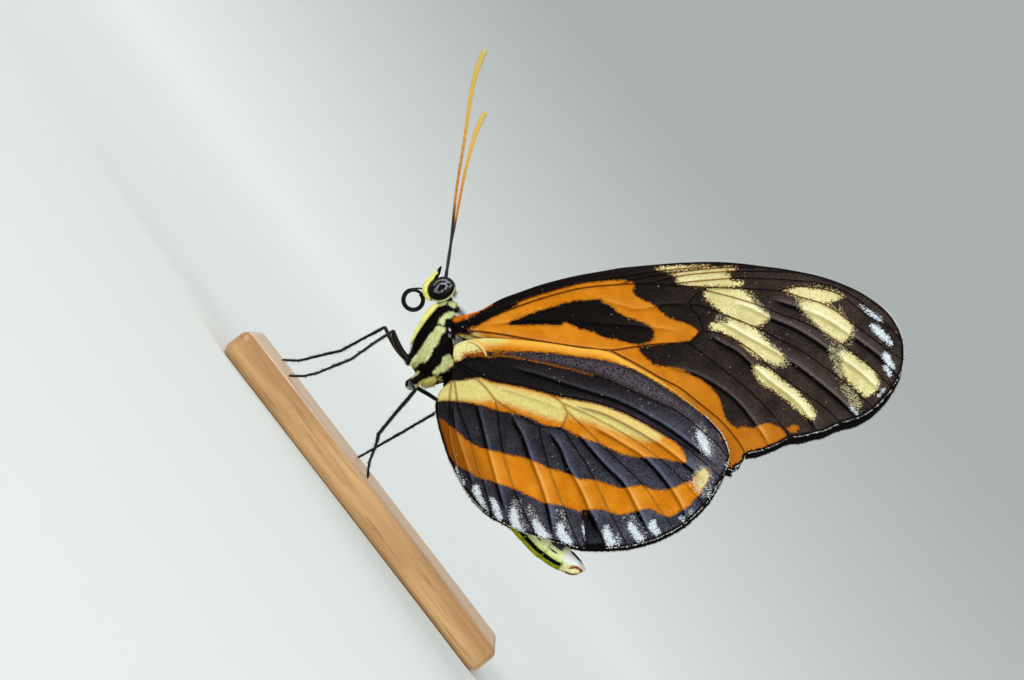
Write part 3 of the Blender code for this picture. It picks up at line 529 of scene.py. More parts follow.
# The line through head, thorax and abdomen, for the body's map.
BODY_LINE = path("""
    425,285 437,291 449,302 444,332 440,360 451,380 462,425 481,464 510,506 540,542 564,559.5 588,573
""")
EYE_TOP = path("429,285 436,278.5 447,276.5 454,280.5 456,287")
# Short hairs: how many to a square metre, their length, width and lift.
PALP_HAIR = (150e6, 0.2 * MM, 0.022 * MM, 0.3)
FORELEG_HAIR = (150e6, 0.24 * MM, 0.024 * MM, 0.35)
TEGULA_HAIR = (320e6, 0.3 * MM, 0.05 * MM, 0.25)
RUFF_WIDTH = 0.03 * MM
# Which way the hairs lie in the side view, right and down, and how far up those of the tegulae are turned.
HEAD_LIE, CHEST_LIE, BACK_LIE = np.array([(0.8, 0.6), (-0.5, 0.86), (0.25, 1.0)])
TEGULA_LIE = 0.35
# A tuft's seven corners on the coat's map, and its faces.
TUFT_PATCH = np.array([(0, 0), (1, 0), (0.5, 0.4), (0.1, 0.6), (0.9, 0.6), (0.5, 0.8), (0.5, 1)]) - 0.5
TUFT_FACES = np.array([(0, 1, 2), (0, 4, 1), (0, 3, 4), (1, 5, 2), (1, 4, 5), (2, 3, 0), (2, 5, 3), (3, 6, 4),
                       (4, 6, 5), (5, 6, 3)])
# Each lamp: its name, place, size, power and colour.
LAMPS = [
    ("key_lamp", (-0.54, -0.70, 0.42), 0.45, 4.9, (1.0, 0.98, 0.95)),
    ("fill_lamp", (0.55, -0.55, 0.40), 0.6, 2.3, (0.95, 0.98, 1.0)),
    ("back_lamp", (-0.2, 0.75, 0.60), 0.6, 3.0, (1.0, 1.0, 1.0)),
]


def turned(a, b, angle):
    return a * math.cos(angle) - b * math.sin(angle), a * math.sin(angle) + b * math.cos(angle)


def spots(flat, offsets):
    """The places of side-view points, at these distances along Y from the middle plane."""
    x, z = turned((flat[:, 0] - VIEW_POINT[0]) * UNIT, (VIEW_POINT[1] - flat[:, 1]) * UNIT, POSE_TURN)
    return np.stack([x + VIEW_POINT_PLACE[0], offsets, z + VIEW_POINT_PLACE[1]], axis=1)


def spot(x, y, offset=0.0):
    return Vector(spots(np.array([(x, y)]), [offset])[0])


def side_view(places):
    """The side-view points of places on the model."""
    across, up = turned(places[:, 0] - VIEW_POINT_PLACE[0], places[:, 2] - VIEW_POINT_PLACE[1], -POSE_TURN)
    return np.stack([VIEW_POINT[0] + across / UNIT, VIEW_POINT[1] - up / UNIT], axis=1)


def ways_along(line):
    """The direction of the line at each of its points."""
    ways = np.gradient(line, axis=0)
    return ways / np.linalg.norm(ways, axis=1)[:, None]


def tree_of(places):
    tree = KDTree(len(places))
    for step, place in enumerate(places):
        tree.insert(place, step)
    tree.balance()
    return tree


def even_steps(points, spacing):
    """A polyline's points set again about this far apart."""
    points = np.asarray(points, dtype=float)
    lengths = np.linalg.norm(np.diff(points, axis=0), axis=1)
    travelled = np.concatenate([[0.0], np.cumsum(lengths)])
    count = max(1, round(travelled[-1] / spacing))
    stops = np.linspace(0.0, travelled[-1], count + 1)
    return np.stack([np.interp(stops, travelled, points[:, k]) for k in range(points.shape[1])], axis=1)


def curve_through(points, spacing, closed=False):
    """Even steps on the smooth (Catmull-Rom) curve through the points."""
    points = np.asarray(points, dtype=float)
    if closed:
        ends = np.concatenate([points[-1:], points, points[:2]])
    else:
        ends = np.concatenate([[2 * points[0] - points[1]], points, [2 * points[-1] - points[-2]]])
    steps = np.linspace(0.0, 1.0, BEND_STEPS, endpoint=False)[:, None]
    fine = []
    for a, b, c, d in zip(ends, ends[1:], ends[2:], ends[3:]):
        straight = 2 * b + (c - a) * steps
        bend = (2 * a - 5 * b + 4 * c - d) * steps**2 + (3 * b - a - 3 * c + d) * steps**3
        fine.append((straight + bend) / 2)
    fine.append(ends[-2:-1])
    fine = even_steps(np.concatenate(fine), spacing)
    return fine[:-1] if closed else fine


def nearest(places, line, closed=False, block=4000):
    """For each place: how far off the line is, where along it the nearest point is, and the place's side."""
    line = np.asarray(line, dtype=float)
    ends = np.concatenate([line[1:], line[:1]]) if closed else line[1:]
    starts = line if closed else line[:-1]
    ways = ends - starts
    squares = np.maximum((ways**2).sum(axis=1), 1e-12)
    found = np.empty((len(places), 3))
    for first in range(0, len(places), block):
        part = places[first:first + block]
        gaps = part[:, None, :] - starts[None, :, :]
        t = np.clip((gaps * ways).sum(axis=2) / squares, 0.0, 1.0)
        gaps = gaps - t[:, :, None] * ways
        away = (gaps**2).sum(axis=2)
        best = away.argmin(axis=1)
        rows = np.arange(len(part))
        found[first:first + block, 0] = np.sqrt(away[rows, best])
        found[first:first + block, 1] = (best + t[rows, best]) / len(starts)
        gap, way = gaps[rows, best], ways[best]
        found[first:first + block, 2] = np.sign(way[:, 0] * gap[:, 1] - way[:, 1] * gap[:, 0])
    return found


def is_inside(places, outline):
    crossings = np.zeros(len(places), dtype=int)
    for a, b in zip(outline, np.roll(outline, -1, axis=0)):
        spans = (a[1] > places[:, 1]) != (b[1] > places[:, 1])
        if a[1] != b[1]:
            cut = a[0] + (places[:, 1] - a[1]) / (b[1] - a[1]) * (b[0] - a[0])
            crossings += spans & (places[:, 0] < cut)
    return crossings % 2 == 1


def near_line(places, line, reach):
    low, high = np.min(line, axis=0) - reach, np.max(line, axis=0) + reach
    return ((places >= low) & (places <= high)).all(axis=1)


def depth_in(places, outline, smooth=True):
    """How deep each place lies inside the outline, below zero outside, and no less than -FAR."""
    edge = curve_through(outline, 2.0, closed=True) if smooth else np.asarray(outline, dtype=float)
    depth = np.full(len(places), -FAR)
    near = near_line(places, edge, FAR)
    close = places[near]
    away = nearest(close, edge, closed=True)[:, 0]
    depth[near] = np.where(is_inside(close, edge), away, -np.minimum(away, FAR))
    return depth


def deepest(places, outlines):
    return np.max([depth_in(places, outline) for outline in outlines], axis=0)


def smooth_step(value, low, high):
    t = np.clip((value - low) / (high - low), 0.0, 1.0)
    return t * t * (3 - 2 * t)


def forewing_offsets(points):
    away = np.linalg.norm(points - np.array(HINGE), axis=1) * UNIT
    rise = FOREWING_HINGE_RISE * np.exp(-(away / FOREWING_HINGE_REACH) ** 2)
    return FOREWING_OFFSET + FOREWING_SHIFT + rise


def hindwing_offsets(points):
    away = np.linalg.norm(points - np.array(HINDWING_LOBE), axis=1) * UNIT
    lobe = HINDWING_LOBE_RISE * np.exp(-(away / HINDWING_LOBE_REACH) ** 2)
    near, far = ABDOMEN_CLEARANCE_REACH
    from_abdomen = nearest(points, ABDOMEN_LINE)[:, 0] * UNIT
    over_abdomen = ABDOMEN_CLEARANCE_RISE * (1 - smooth_step(from_abdomen, near, far))
    return HINDWING_OFFSET + HINDWING_SHIFT + lobe + over_abdomen


def hindwing_outline(torn):
    corners = [HINDWING_FRONT[-1], *HINDWING_TEAR, HINDWING_BACK[0]] if torn else []
    front, back = (curve_through(line, OUTLINE_STEP) for line in (HINDWING_FRONT, HINDWING_BACK))
    return even_steps([*front, *corners, *back, front[0]], OUTLINE_STEP)[:-1]


def parallel(line, gaps):
    """Lines beside this one, at these distances."""
    ways = ways_along(line)
    across = np.stack([ways[:, 1], -ways[:, 0]], axis=1)
    return np.concatenate([line + across * np.broadcast_to(gap, len(line))[:, None] for gap in gaps])


def far_enough(points, kept, gap):
    flat_side = ((0, 0), (0, 1))
    tree = tree_of(np.pad(kept, flat_side))
    return points[[tree.find(point)[2] >= gap for point in np.pad(points, flat_side)]]


def spread_out(outline, groups):
    """The outline's points and then each group's that lie inside it and clear of the points before them."""
    kept = outline
    for points, gap in groups:
        cells = np.unique(np.round(points / (gap * 0.9)), axis=0, return_index=True)[1]
        points = points[cells]
        points = points[depth_in(points, outline, smooth=False) > 0.8]
        kept = np.concatenate([kept, far_enough(points, kept, gap)])
    return kept


class Sheet:
    """A wing laid flat in the side view: its points, its triangles, and what is known at each point."""

    def __init__(self, outline, root, veins, folds, markings, margin):
        self.outline = outline
        self.root = np.array(root, dtype=float)
        self.reach = np.linalg.norm(outline - self.root, axis=1).max()
        self.veins = [curve_through(vein, LINE_STEP) for vein in veins]
        self.folds = [(strength, curve_through(fold, LINE_STEP)) for strength, fold in folds]
        self.fill(markings)
        starts, ends = (np.linalg.norm(outline - np.array(place), axis=1).argmin() for place in margin)
        self.margin = outline[starts:ends + 1]
        self.facts = {"edge": np.minimum(nearest(self.points, self.margin)[:, 0], FAR)}
        self.raise_veins()
        self.raise_folds()

    def vein_radius(self, points):
        along = np.clip(np.linalg.norm(points - self.root, axis=1) / self.reach, 0.0, 1.0)
        return VEIN_RADIUS[0] + (VEIN_RADIUS[1] - VEIN_RADIUS[0]) * along

    def fill(self, markings):
        vein_points = [parallel(vein, np.outer(VEIN_LINES, self.vein_radius(vein))) for vein in self.veins]
        fold_points = [parallel(fold, FOLD_LINES) for _, fold in self.folds]
        marking_points = [curve_through(marking, OUTLINE_STEP, closed=True) for marking in markings]
        low, high = self.outline.min(axis=0), self.outline.max(axis=0)
        rows = np.arange(low[1], high[1], FILL_STEP * math.sqrt(3) / 2)
        columns = np.arange(low[0], high[0], FILL_STEP)
        grid = np.array([(x + FILL_STEP / 2 * (row % 2), y) for row, y in enumerate(rows) for x in columns])
        self.points = spread_out(self.outline, [
            (np.concatenate(vein_points), 0.45), (np.concatenate(fold_points), 0.9),
            (np.concatenate(marking_points), 1.0), (grid, 1.5)])
        count = len(self.outline)
        rim = [(place, (place + 1) % count) for place in range(count)]
        result = delaunay_2d_cdt([Vector(point) for point in self.points], rim, [], 1, 1e-5)
        self.points = np.array([tuple(point) for point in result[0]])
        triangles = np.array([face for face in result[2] if len(face) == 3])
        a, b, c = (self.points[triangles[:, k]] for k in range(3))
        turn = (b - a)[:, 0] * (c - a)[:, 1] - (b - a)[:, 1] * (c - a)[:, 0]
        self.triangles = np.where((turn > 0)[:, None], triangles[:, ::-1], triangles)

    def rim_edges(self):
        """The edges with one triangle only, each in that triangle's order."""
        edges = np.concatenate([self.triangles[:, pair] for pair in ([0, 1], [1, 2], [2, 0])])
        known = {tuple(edge) for edge in edges.tolist()}
        return [edge for edge in known if edge[::-1] not in known]

    def raise_veins(self):
        share = np.full(len(self.points), -3.0)
        for vein in self.veins:
            near = near_line(self.points, vein, FAR)
            away = nearest(self.points[near], vein)[:, 0] / self.vein_radius(self.points[near])
            share[near] = np.maximum(share[near], 1 - away)
        self.facts["vein"] = np.maximum(share, -3.0)
        round_share = np.sqrt(np.clip(1 - (1 - np.maximum(share, 0.0)) ** 2, 0.0, 1.0))
        self.vein_rise = round_share * self.vein_radius(self.points) * UNIT * VEIN_HEIGHT

    def raise_folds(self):
        """Each fold is a crest, with a gentle, lit side above it and a steep side in shade below it; its fold
        fact paints a highlight on the lit side and crest, and shade below.
        """
        shade = np.zeros(len(self.points))
        rise = np.zeros(len(self.points))
        for strength, fold in self.folds:
            near = near_line(self.points, fold, FAR)
            away, along, below = nearest(self.points[near], fold).T
            ends = smooth_step(along, 0.0, FOLD_ENDS) * (1 - 0.7 * smooth_step(along, 1 - FOLD_ENDS, 1.0))
            ends *= (away < FOLD_LIT) * strength
            slope = np.where(below > 0, 1 - away / FOLD_DROP, 1 - away / FOLD_RISE)
            rise[near] = np.maximum(rise[near], smooth_step(slope, 0.0, 1.0) * ends * FOLD_HEIGHT)
            wide = 0.42 * smooth_step(away, 0.0, 1.5)
            crest = away / FOLD_CREST * np.exp(0.5 - (away / FOLD_CREST) ** 2 / 2)
            lit = (np.clip(1 - away / FOLD_LIT, 0.0, 1.0) * wide + crest) * ends
            dark = -(np.clip(1 - away / FOLD_DARK, 0.0, 1.0) * wide + crest) * ends
            found = np.where(below > 0, dark, lit)
            shade[near] = np.where(np.abs(found) > np.abs(shade[near]), found, shade[near])
        self.facts["fold"] = shade
        self.rise = rise

    def raise_patch(self, outline, height, reach):
        """A rounded swelling inside the outline."""
        self.rise += height * np.sqrt(smooth_step(depth_in(self.points, outline), -1.0, reach))

    def mark(self, name, outlines):
        """Keeps how deep each point lies in the nearest of the outlines."""
        self.facts[name] = deepest(self.points, outlines)

    def scatter(self, patches):
        """Keeps how dense the pale scales lie, in patches with soft edges."""
        shares = [density * smooth_step(depth_in(self.points, patch), -1.5, 3.0)
                  for density, patch in patches]
        self.facts["scatter"] = np.max(shares, axis=0)


def new_object(name, data):
    made = bpy.data.objects.new(name, data)
    bpy.context.scene.collection.objects.link(made)
    return made


def mesh_of(name, places, faces):
    mesh = bpy.data.meshes.new(name)
    mesh.from_pydata([tuple(place) for place in places], [], faces)
    mesh.shade_smooth()
    return mesh


def body_of(name, places, faces):
    return new_object(name, mesh_of(name, places, faces))


def add_facts(mesh, facts):
    for name, values in facts.items():
        attribute = mesh.attributes.new(name, "FLOAT", "POINT")
        attribute.data.foreach_set("value", np.ascontiguousarray(values, dtype=np.float32))


def finish_piece(piece, material, slot, *nodes):
    piece.data.materials.append(material)
    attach(piece, "root")
    if nodes:
        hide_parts(*nodes)


def hung(points, wing, side):
    """Where a wing's points hang in the side view."""
    turn, shift = RIGHT_HANG[wing] if side == RIGHT else (0.0, (0.0, 0.0))
    return np.stack(turned(*(points - np.array(HINGE)).T, turn), axis=1) + np.array(HINGE) + shift


def wing_object(name, wing, sheet, offsets, side):
    """Both faces of a wing and the rim between them, as one closed body."""
    middle = offsets(sheet.points) + sheet.rise
    outer = side * (middle + MEMBRANE / 2 + sheet.vein_rise)
    inner = side * (middle - MEMBRANE / 2 - sheet.vein_rise * INNER_VEIN_HEIGHT)
    flat = hung(sheet.points, wing, side)
    places = np.concatenate([spots(flat, outer), spots(flat, inner)])
    count = len(flat)
    front = sheet.triangles[:, ::-1] if side == RIGHT else sheet.triangles
    back = front[:, ::-1] + count
    rim = [(b, a, a + count, b + count) for a, b in sheet.rim_edges()]
    if side == RIGHT:
        rim = [face[::-1] for face in rim]
    mesh = mesh_of(name, places.tolist(), front.tolist() + back.tolist() + rim)
    add_facts(mesh, {fact: np.tile(values, 2) for fact, values in sheet.facts.items()})
    add_facts(mesh, {"inner": np.repeat([0.0, 1.0], count)})
    map_wing(mesh, sheet, count)
    return new_object(name, mesh)


def map_wing(mesh, sheet, count):
    """The outer face takes the left half of the map and the inner face the right half."""
    low, high = sheet.points.min(axis=0), sheet.points.max(axis=0)
    flat = (sheet.points - low) / (high - low)
    left = flat * (0.48, 0.96) + (0.01, 0.02)
    per_point = np.concatenate([left, left + (0.5, 0.0)])
    corners = np.empty(len(mesh.loops), dtype=int)
    mesh.loops.foreach_get("vertex_index", corners)
    first_rim_corner = 2 * 3 * len(sheet.triangles)
    corners[first_rim_corner:] %= count
    chart = mesh.uv_layers.new(name="OFBake")
    chart.data.foreach_set("uv", per_point[corners].astype(np.float32).ravel())


def forewing_sheet():
    markings = [FOREWING_STREAK, FOREWING_BLOTCH, *FOREWING_YELLOW, *FOREWING_WHITE]
    outline = curve_through(FOREWING_OUTLINE, OUTLINE_STEP, closed=True)
    sheet = Sheet(outline, HINGE, FOREWING_VEINS, FOREWING_FOLDS, markings, FOREWING_MARGIN)
    sheet.mark("dark", [FOREWING_BLACK, FOREWING_ROOT_DARK, FOREWING_STREAK])
    blotch = depth_in(sheet.points, FOREWING_BLOTCH)
    root = depth_in(sheet.points, FOREWING_ROOT)
    sheet.facts["dark"] = np.minimum(sheet.facts["dark"], np.minimum(-blotch, -root))
    sheet.mark("pale", FOREWING_YELLOW)
    sheet.mark("cream", [FOREWING_OLIVE])
    sheet.facts["white"] = deepest(sheet.points, FOREWING_WHITE) - 0.4
    sheet.mark("bright", [FOREWING_ROOT])
    sheet.scatter(FOREWING_SCATTER)
    sheet.facts["cool"] = np.zeros(len(sheet.points))
    away = np.linalg.norm(sheet.points - sheet.root, axis=1)
    sheet.facts["out"] = smooth_step(away / sheet.reach, 0.2, 0.9)
    sheet.facts["shady"] = np.zeros(len(sheet.points))
    for absent in ("dust", "edge_highlight", "ridge"):
        sheet.facts[absent] = np.full(len(sheet.points), -FAR)
    return sheet


def hindwing_sheet(torn):
    markings = [*HINDWING_ORANGE, *HINDWING_WHITE, HINDWING_LOBE_PALE, HINDWING_RIDGE]
    outline = hindwing_outline(torn)
    sheet = Sheet(outline, HINDWING_LOBE, HINDWING_VEINS, HINDWING_FOLDS, markings, HINDWING_MARGIN)
    sheet.facts["dark"] = -deepest(sheet.points, HINDWING_ORANGE)
    sheet.mark("pale", [HINDWING_LOBE_PALE])
    sheet.mark("ridge", [HINDWING_RIDGE])
    x, y = sheet.points.T
    sheet.facts["cool"] = 0.4 + 0.6 * smooth_step(y, *HINDWING_COOL)
    rows = sum(smooth_step(y, *row) for row in HINDWING_GREYER_ROWS)
    sheet.facts["out"] = 0.05 + 0.33 * smooth_step(x, *HINDWING_GREYER_RIGHT) + 0.3 * rows
    # Painted shade: the orange is browner near the shady stretch of the back edge and beside the rib.
    by_back = 1 - smooth_step(nearest(sheet.points, HINDWING_SHADY_EDGE)[:, 0], 0.0, 45.0)
    by_rib = 1 - smooth_step(nearest(sheet.points, HINDWING_RIB)[:, 0], 3.0, 6.0)
    sheet.facts["shady"] = np.maximum(by_back, by_rib)
    sheet.raise_patch(HINDWING_LOBE_PALE, LOBE_HEIGHT, LOBE_REACH)
    sheet.raise_patch(HINDWING_RIDGE, RIDGE_HEIGHT, 1.2)
    sheet.mark("cream", HINDWING_CREAM)
    # Along the curled front edge: a painted highlight, and the edge curled inwards.
    front = curve_through(HINDWING_CURLED_EDGE, OUTLINE_STEP)
    from_front, along, _ = nearest(sheet.points, front).T
    ends = smooth_step(along, 0.0, 0.1) * (1 - smooth_step(along, 0.85, 1.0))
    sheet.facts["edge_highlight"] = np.where(ends > 0, -np.minimum(from_front, FAR), -FAR)
    sheet.rise -= EDGE_CURL * (1 - smooth_step(from_front, 0.0, EDGE_CURL_REACH)) * ends
    sheet.facts["white"] = deepest(sheet.points, HINDWING_WHITE) - 0.2
    sheet.mark("dust", HINDWING_DUST)
    sheet.scatter(HINDWING_SCATTER)
    sheet.facts["bright"] = np.full(len(sheet.points), -FAR)
    return sheet


def linear(red, green, blue):
    """A colour given as on a screen, 0 to 255, in the linear numbers that materials take."""
    shares = [channel / 255 for channel in (red, green, blue)]
    return tuple(s / 12.92 if s <= 0.04045 else ((s + 0.055) / 1.055) ** 2.4 for s in shares) + (1.0,)


class Paint:
    """A material's nodes, put together step by step."""

    def __init__(self, name, roughness, gloss=0.5):
        self.material = bpy.data.materials.new(name)
        self.material.use_nodes = True
        self.tree = self.material.node_tree
        self.surface = self.tree.nodes["Principled BSDF"]
        self.set("Roughness", roughness)
        self.set("Specular IOR Level", gloss)

    def put(self, socket, value):
        """Links a socket or sets its value, a colour of three numbers being one as on a screen."""
        if isinstance(value, bpy.types.NodeSocket):
            self.tree.links.new(value, socket)
        elif isinstance(value, tuple) and len(value) == 3:
            socket.default_value = linear(*value)
        else:
            socket.default_value = value

    def set(self, name, value):
        self.put(self.surface.inputs[name], value)

    def add(self, kind, inputs, output, **settings):
        """An output of a new node that has these inputs and settings."""
        node = self.tree.nodes.new(kind)
        for name, value in settings.items():
            setattr(node, name, value)
        for name, value in inputs.items():
            self.put(node.inputs[name], value)
        return node.outputs[output]

    def fact(self, name):
        return self.add("ShaderNodeAttribute", {}, "Fac", attribute_name=name)

    def math(self, operation, a, b=0.0, clamped=False):
        return self.add("ShaderNodeMath", {0: a, 1: b}, 0, operation=operation, use_clamp=clamped)

    def times(self, a, b, clamped=False):
        return self.math("MULTIPLY", a, b, clamped)

    def sum(self, *values):
        total = values[0]
        for value in values[1:]:
            total = self.math("ADD", total, value)
        return total

    def step(self, value, low, high):
        """0 below low, 1 above high, and smooth between."""
        inputs = {"Value": value, "From Min": low, "From Max": high}
        return self.add("ShaderNodeMapRange", inputs, "Result", interpolation_type="SMOOTHSTEP")

    def spread(self, value, low, high):
        """A value from 0 to 1, spread between low and high."""
        inputs = {"Value": value, "To Min": low, "To Max": high}
        return self.add("ShaderNodeMapRange", inputs, "Result", clamp=False)

    def mix(self, share, a, b):
        return self.add("ShaderNodeMix", {0: share, 6: a, 7: b}, 2, data_type="RGBA")

    def places(self, sizes, turn=0.0):
        """Places on the piece, in cells of these sizes along its own axes."""
        own = self.add("ShaderNodeTexCoord", {}, "Object")
        turned_places = self.add("ShaderNodeMapping", {"Vector": own}, "Vector", vector_type="POINT")
        turned_places.node.inputs["Rotation"].default_value = (0.0, turn, 0.0)
        scaled = self.add("ShaderNodeVectorMath", {0: turned_places}, "Vector", operation="MULTIPLY")
        scaled.node.inputs[1].default_value = tuple(1 / size for size in sizes)
        return scaled

    def cells(self, places):
        """Three random values for each cell and the distance from its middle."""
        colour = self.add("ShaderNodeTexVoronoi", {"Vector": places, "Scale": 1.0}, "Color")
        red = self.add("ShaderNodeSeparateColor", {0: colour}, 0)
        return [*red.node.outputs, colour.node.outputs["Distance"]]

    def noise(self, places, detail=2.0):
        return self.add("ShaderNodeTexNoise", {"Vector": places, "Scale": 1.0, "Detail": detail}, "Fac")

    def bump(self, height, distance, strength):
        inputs = {"Height": height, "Distance": distance, "Strength": strength}
        self.set("Normal", self.add("ShaderNodeBump", inputs, "Normal"))


class WingPaint(Paint):
    """Rows of fine scales in the colours that the wing's facts give."""

    def __init__(self):
        super().__init__("wing_scales", 0.55, 0.035)
        scales = self.places((SCALE_LENGTH, SCALE_WIDTH, SCALE_WIDTH), POSE_TURN)
        ragged, self.shade, self.rare, middle = self.cells(scales)
        self.drift = self.noise(self.places((1.6 * MM,) * 3))
        grain = self.noise(self.places((0.5 * MM, 0.2 * MM, 0.2 * MM), POSE_TURN))
        self.waver = self.sum(self.spread(ragged, -1.0, 1.0), self.spread(grain, -1.2, 1.2))
        self.outer = self.math("SUBTRACT", 1.0, self.fact("inner"))
        self.out, self.cool = self.fact("out"), self.fact("cool")
        # The fold fact holds painted light: a highlight on each fold's lit side and crest, and shade below
        # it.
        self.fold = self.fact("fold")
        self.lit = self.times(self.fold, 1.15, clamped=True)
        self.shaded = self.times(self.fold, -1.3, clamped=True)
        wide_waver = self.times(self.waver, 2.0)
        self.cream = self.step(self.sum(self.fact("cream"), wide_waver), -6.0, 3.0)
        self.darkness = self.step(self.sum(self.fact("dark"), self.waver), -0.3, 0.3)
        self.depth = self.sum(self.fact("pale"), self.waver, self.spread(self.rare, -2.0, 2.0))
        self.paleness = self.step(self.depth, -0.2, 0.2)
        self.colour_scales()
        self.set("Roughness", self.spread(self.shade, 0.45, 0.65))
        self.bump(middle, 0.01 * MM, 0.4)

    def orange(self):
        """Orange, browner towards the margin and with painted shade where it is shady, with a painted
        highlight along the curled front edge, cream in places, and painted highlights and shade beside the
        folds.
        """
        orange = self.mix(self.shade, (192, 108, 10), (210, 126, 16))
        orange = self.mix(self.step(self.drift, 0.35, 0.75), orange, (218, 136, 28))
        brown = self.times(self.out, self.spread(self.cool, 0.6, -0.4), clamped=True)
        orange = self.mix(brown, orange, (158, 92, 26))
        orange = self.mix(self.fact("shady"), orange, (128, 66, 7))
        orange = self.mix(self.step(self.fact("edge_highlight"), -10.0, -1.0), orange, (238, 176, 66))
        orange = self.mix(self.step(self.fact("bright"), -1.0, 1.0), orange, (230, 108, 4))
        orange = self.mix(self.cream, orange, self.mix(self.shade, (206, 190, 106), (232, 220, 146)))
        orange = self.mix(self.times(self.lit, 0.5), orange, (242, 184, 96))
        return self.mix(self.times(self.shaded, 0.6), orange, (106, 52, 5))

    def dark(self):
        """Brown-black on the forewing and blue-black on the hind wing, its blue partly a painted sheen,
        greyer outwards, with painted highlights on the folds' lit sides and painted shade below them.
        """
        brown_low = self.mix(self.out, (5, 4, 3), (36, 27, 23))
        brown_high = self.mix(self.out, (20, 14, 10), (74, 62, 57))
        blue_low = self.mix(self.out, (7, 6, 7), (34, 32, 38))
        blue_high = self.mix(self.out, (32, 28, 30), (98, 98, 116))
        brown = self.mix(self.shade, brown_low, brown_high)
        dark = self.mix(self.cool, brown, self.mix(self.shade, blue_low, blue_high))
        dark = self.mix(self.times(self.step(self.drift, 0.4, 0.7), 0.5), dark, (16, 13, 13))
        dust = self.times(self.step(self.fact("dust"), -4.0, 4.0), self.step(self.rare, 0.25, 0.6))
        dark = self.mix(self.times(dust, 0.6), dark, (108, 96, 106))
        lit_here = self.times(self.lit, self.spread(self.shade, 0.4, 0.85))
        lit_here = self.times(lit_here, self.math("MAXIMUM", self.out, self.times(self.cool, 0.55)))
        dark = self.mix(lit_here, dark, self.mix(self.cool, (112, 98, 98), (118, 122, 150)))
        return self.mix(self.times(self.fold, -2.2, clamped=True), dark, (6, 5, 5))

    def yellow(self):
        lemon = self.mix(self.shade, (212, 202, 104), (242, 236, 158))
        yellow = self.mix(self.shade, (204, 192, 124), (242, 236, 184))
        yellow = self.mix(self.times(self.step(self.drift, 0.4, 0.75), 0.7), yellow, (192, 178, 112))
        yellow = self.mix(self.spread(self.cool, 0.0, 0.9), yellow, lemon)
        # A painted highlight on a fold's lit side, and painted shade below it.
        yellow = self.mix(self.times(self.lit, 0.5), yellow, (253, 252, 222))
        return self.mix(self.times(self.shaded, 0.45), yellow, (160, 148, 70))

    def vein(self):
        """Veins are dark, brown over orange and cream, with a painted highlight along their ridge there."""
        ridge = self.times(self.step(self.fact("vein"), 0.4, 0.95), self.cool)
        vein = self.mix(ridge, (78, 38, 10), (214, 150, 62))
        vein = self.mix(self.cream, vein, self.mix(ridge, (134, 94, 36), (232, 214, 132)))
        vein = self.mix(self.darkness, vein, (9, 6, 6))
        return self.mix(self.paleness, vein, (128, 84, 34))

    def colour_scales(self):
        """The grounds, then the spots on them, the scattered scales, the veins and the dark margin."""
        rim = self.step(self.sum(self.fact("dark"), self.waver), -1.5, -0.9)
        rim = self.math("SUBTRACT", rim, self.darkness)
        colour = self.mix(self.darkness, self.orange(), self.dark())
        colour = self.mix(self.times(rim, 0.6), colour, (128, 66, 10))
        brown = self.mix(self.shade, (120, 72, 22), (180, 124, 44))
        colour = self.mix(self.times(self.step(self.depth, -1.3, -0.7), 0.6), colour, brown)
        colour = self.mix(self.paleness, colour, self.yellow())
        colour = self.mix(self.step(self.fact("ridge"), -0.4, 0.7), colour, (240, 212, 130))
        dense = self.math("MAXIMUM", self.fact("scatter"), 0.0015)
        scattered = self.times(self.math("GREATER_THAN", dense, self.rare), self.outer)
        pale = self.mix(self.cool, (206, 200, 150), (206, 206, 202))
        colour = self.mix(self.times(scattered, 0.6), colour, pale)
        white = self.sum(self.fact("white"), self.waver, self.spread(self.rare, -1.4, 1.4))
        white = self.times(self.step(white, -0.5, 0.5), self.outer)
        colour = self.mix(white, colour, self.mix(self.shade, (168, 182, 196), (236, 243, 247)))
        veined = self.step(self.fact("vein"), -0.1, 0.45)
        veined = self.times(veined, self.spread(self.rare, 0.7, 1.1), clamped=True)
        colour = self.mix(veined, colour, self.vein())
        reach = self.spread(self.fact("inner"), 2.4, 8.0)
        margin = self.math("SUBTRACT", self.sum(self.fact("edge"), self.waver), reach)
        margin = self.times(self.step(margin, 0.5, -0.5), self.math("SUBTRACT", 1.0, white))
        self.set("Base Color", self.mix(margin, colour, (20, 15, 16)))


def fringe_paint():
    paint = Paint("wing_fringe", 0.6, 0.1)
    paint.set("Base Color", paint.mix(paint.fact("pale"), (18, 14, 14), (240, 238, 230)))
    return paint.material


def make_fringe(name, wing, sheet, offsets, side, paint, node):
    """Fine scales that stand out from the margin, dark at the veins' ends and mostly pale between them."""
    rim = even_steps(sheet.margin[sheet.margin[:, 1] > FRINGE_TOP], FRINGE_STEP)
    rim = rim[nearest(rim, [HINDWING_FRONT[-1], *HINDWING_TEAR, HINDWING_BACK[0]])[:, 0] > 1.5]
    tips = hung(parallel(rim, [1.0]), wing, side)
    flat = hung(rim, wing, side)
    offset = side * offsets(rim)
    roots = spots(flat, offset)
    lies = spots(tips, offset) - roots
    normals = np.tile((0.0, float(side), 0.0), (len(rim), 1))
    from_vein = np.min([np.linalg.norm(rim - vein[-1], axis=1) for vein in sheet.veins], axis=0)
    coat = Coat(name, len(name))
    pale = (from_vein > 2.0) & (coat.random.uniform(size=len(rim)) < 0.85)
    low, high = sheet.points.min(axis=0), sheet.points.max(axis=0)
    coat.grow(roots, normals, lies, *FRINGE_SIZE, 0.05, (rim - low) / (high - low) * 0.96 + 0.02)
    finish_piece(coat.make(lambda found: {"pale": pale.astype(float)}), paint, "wing", node)


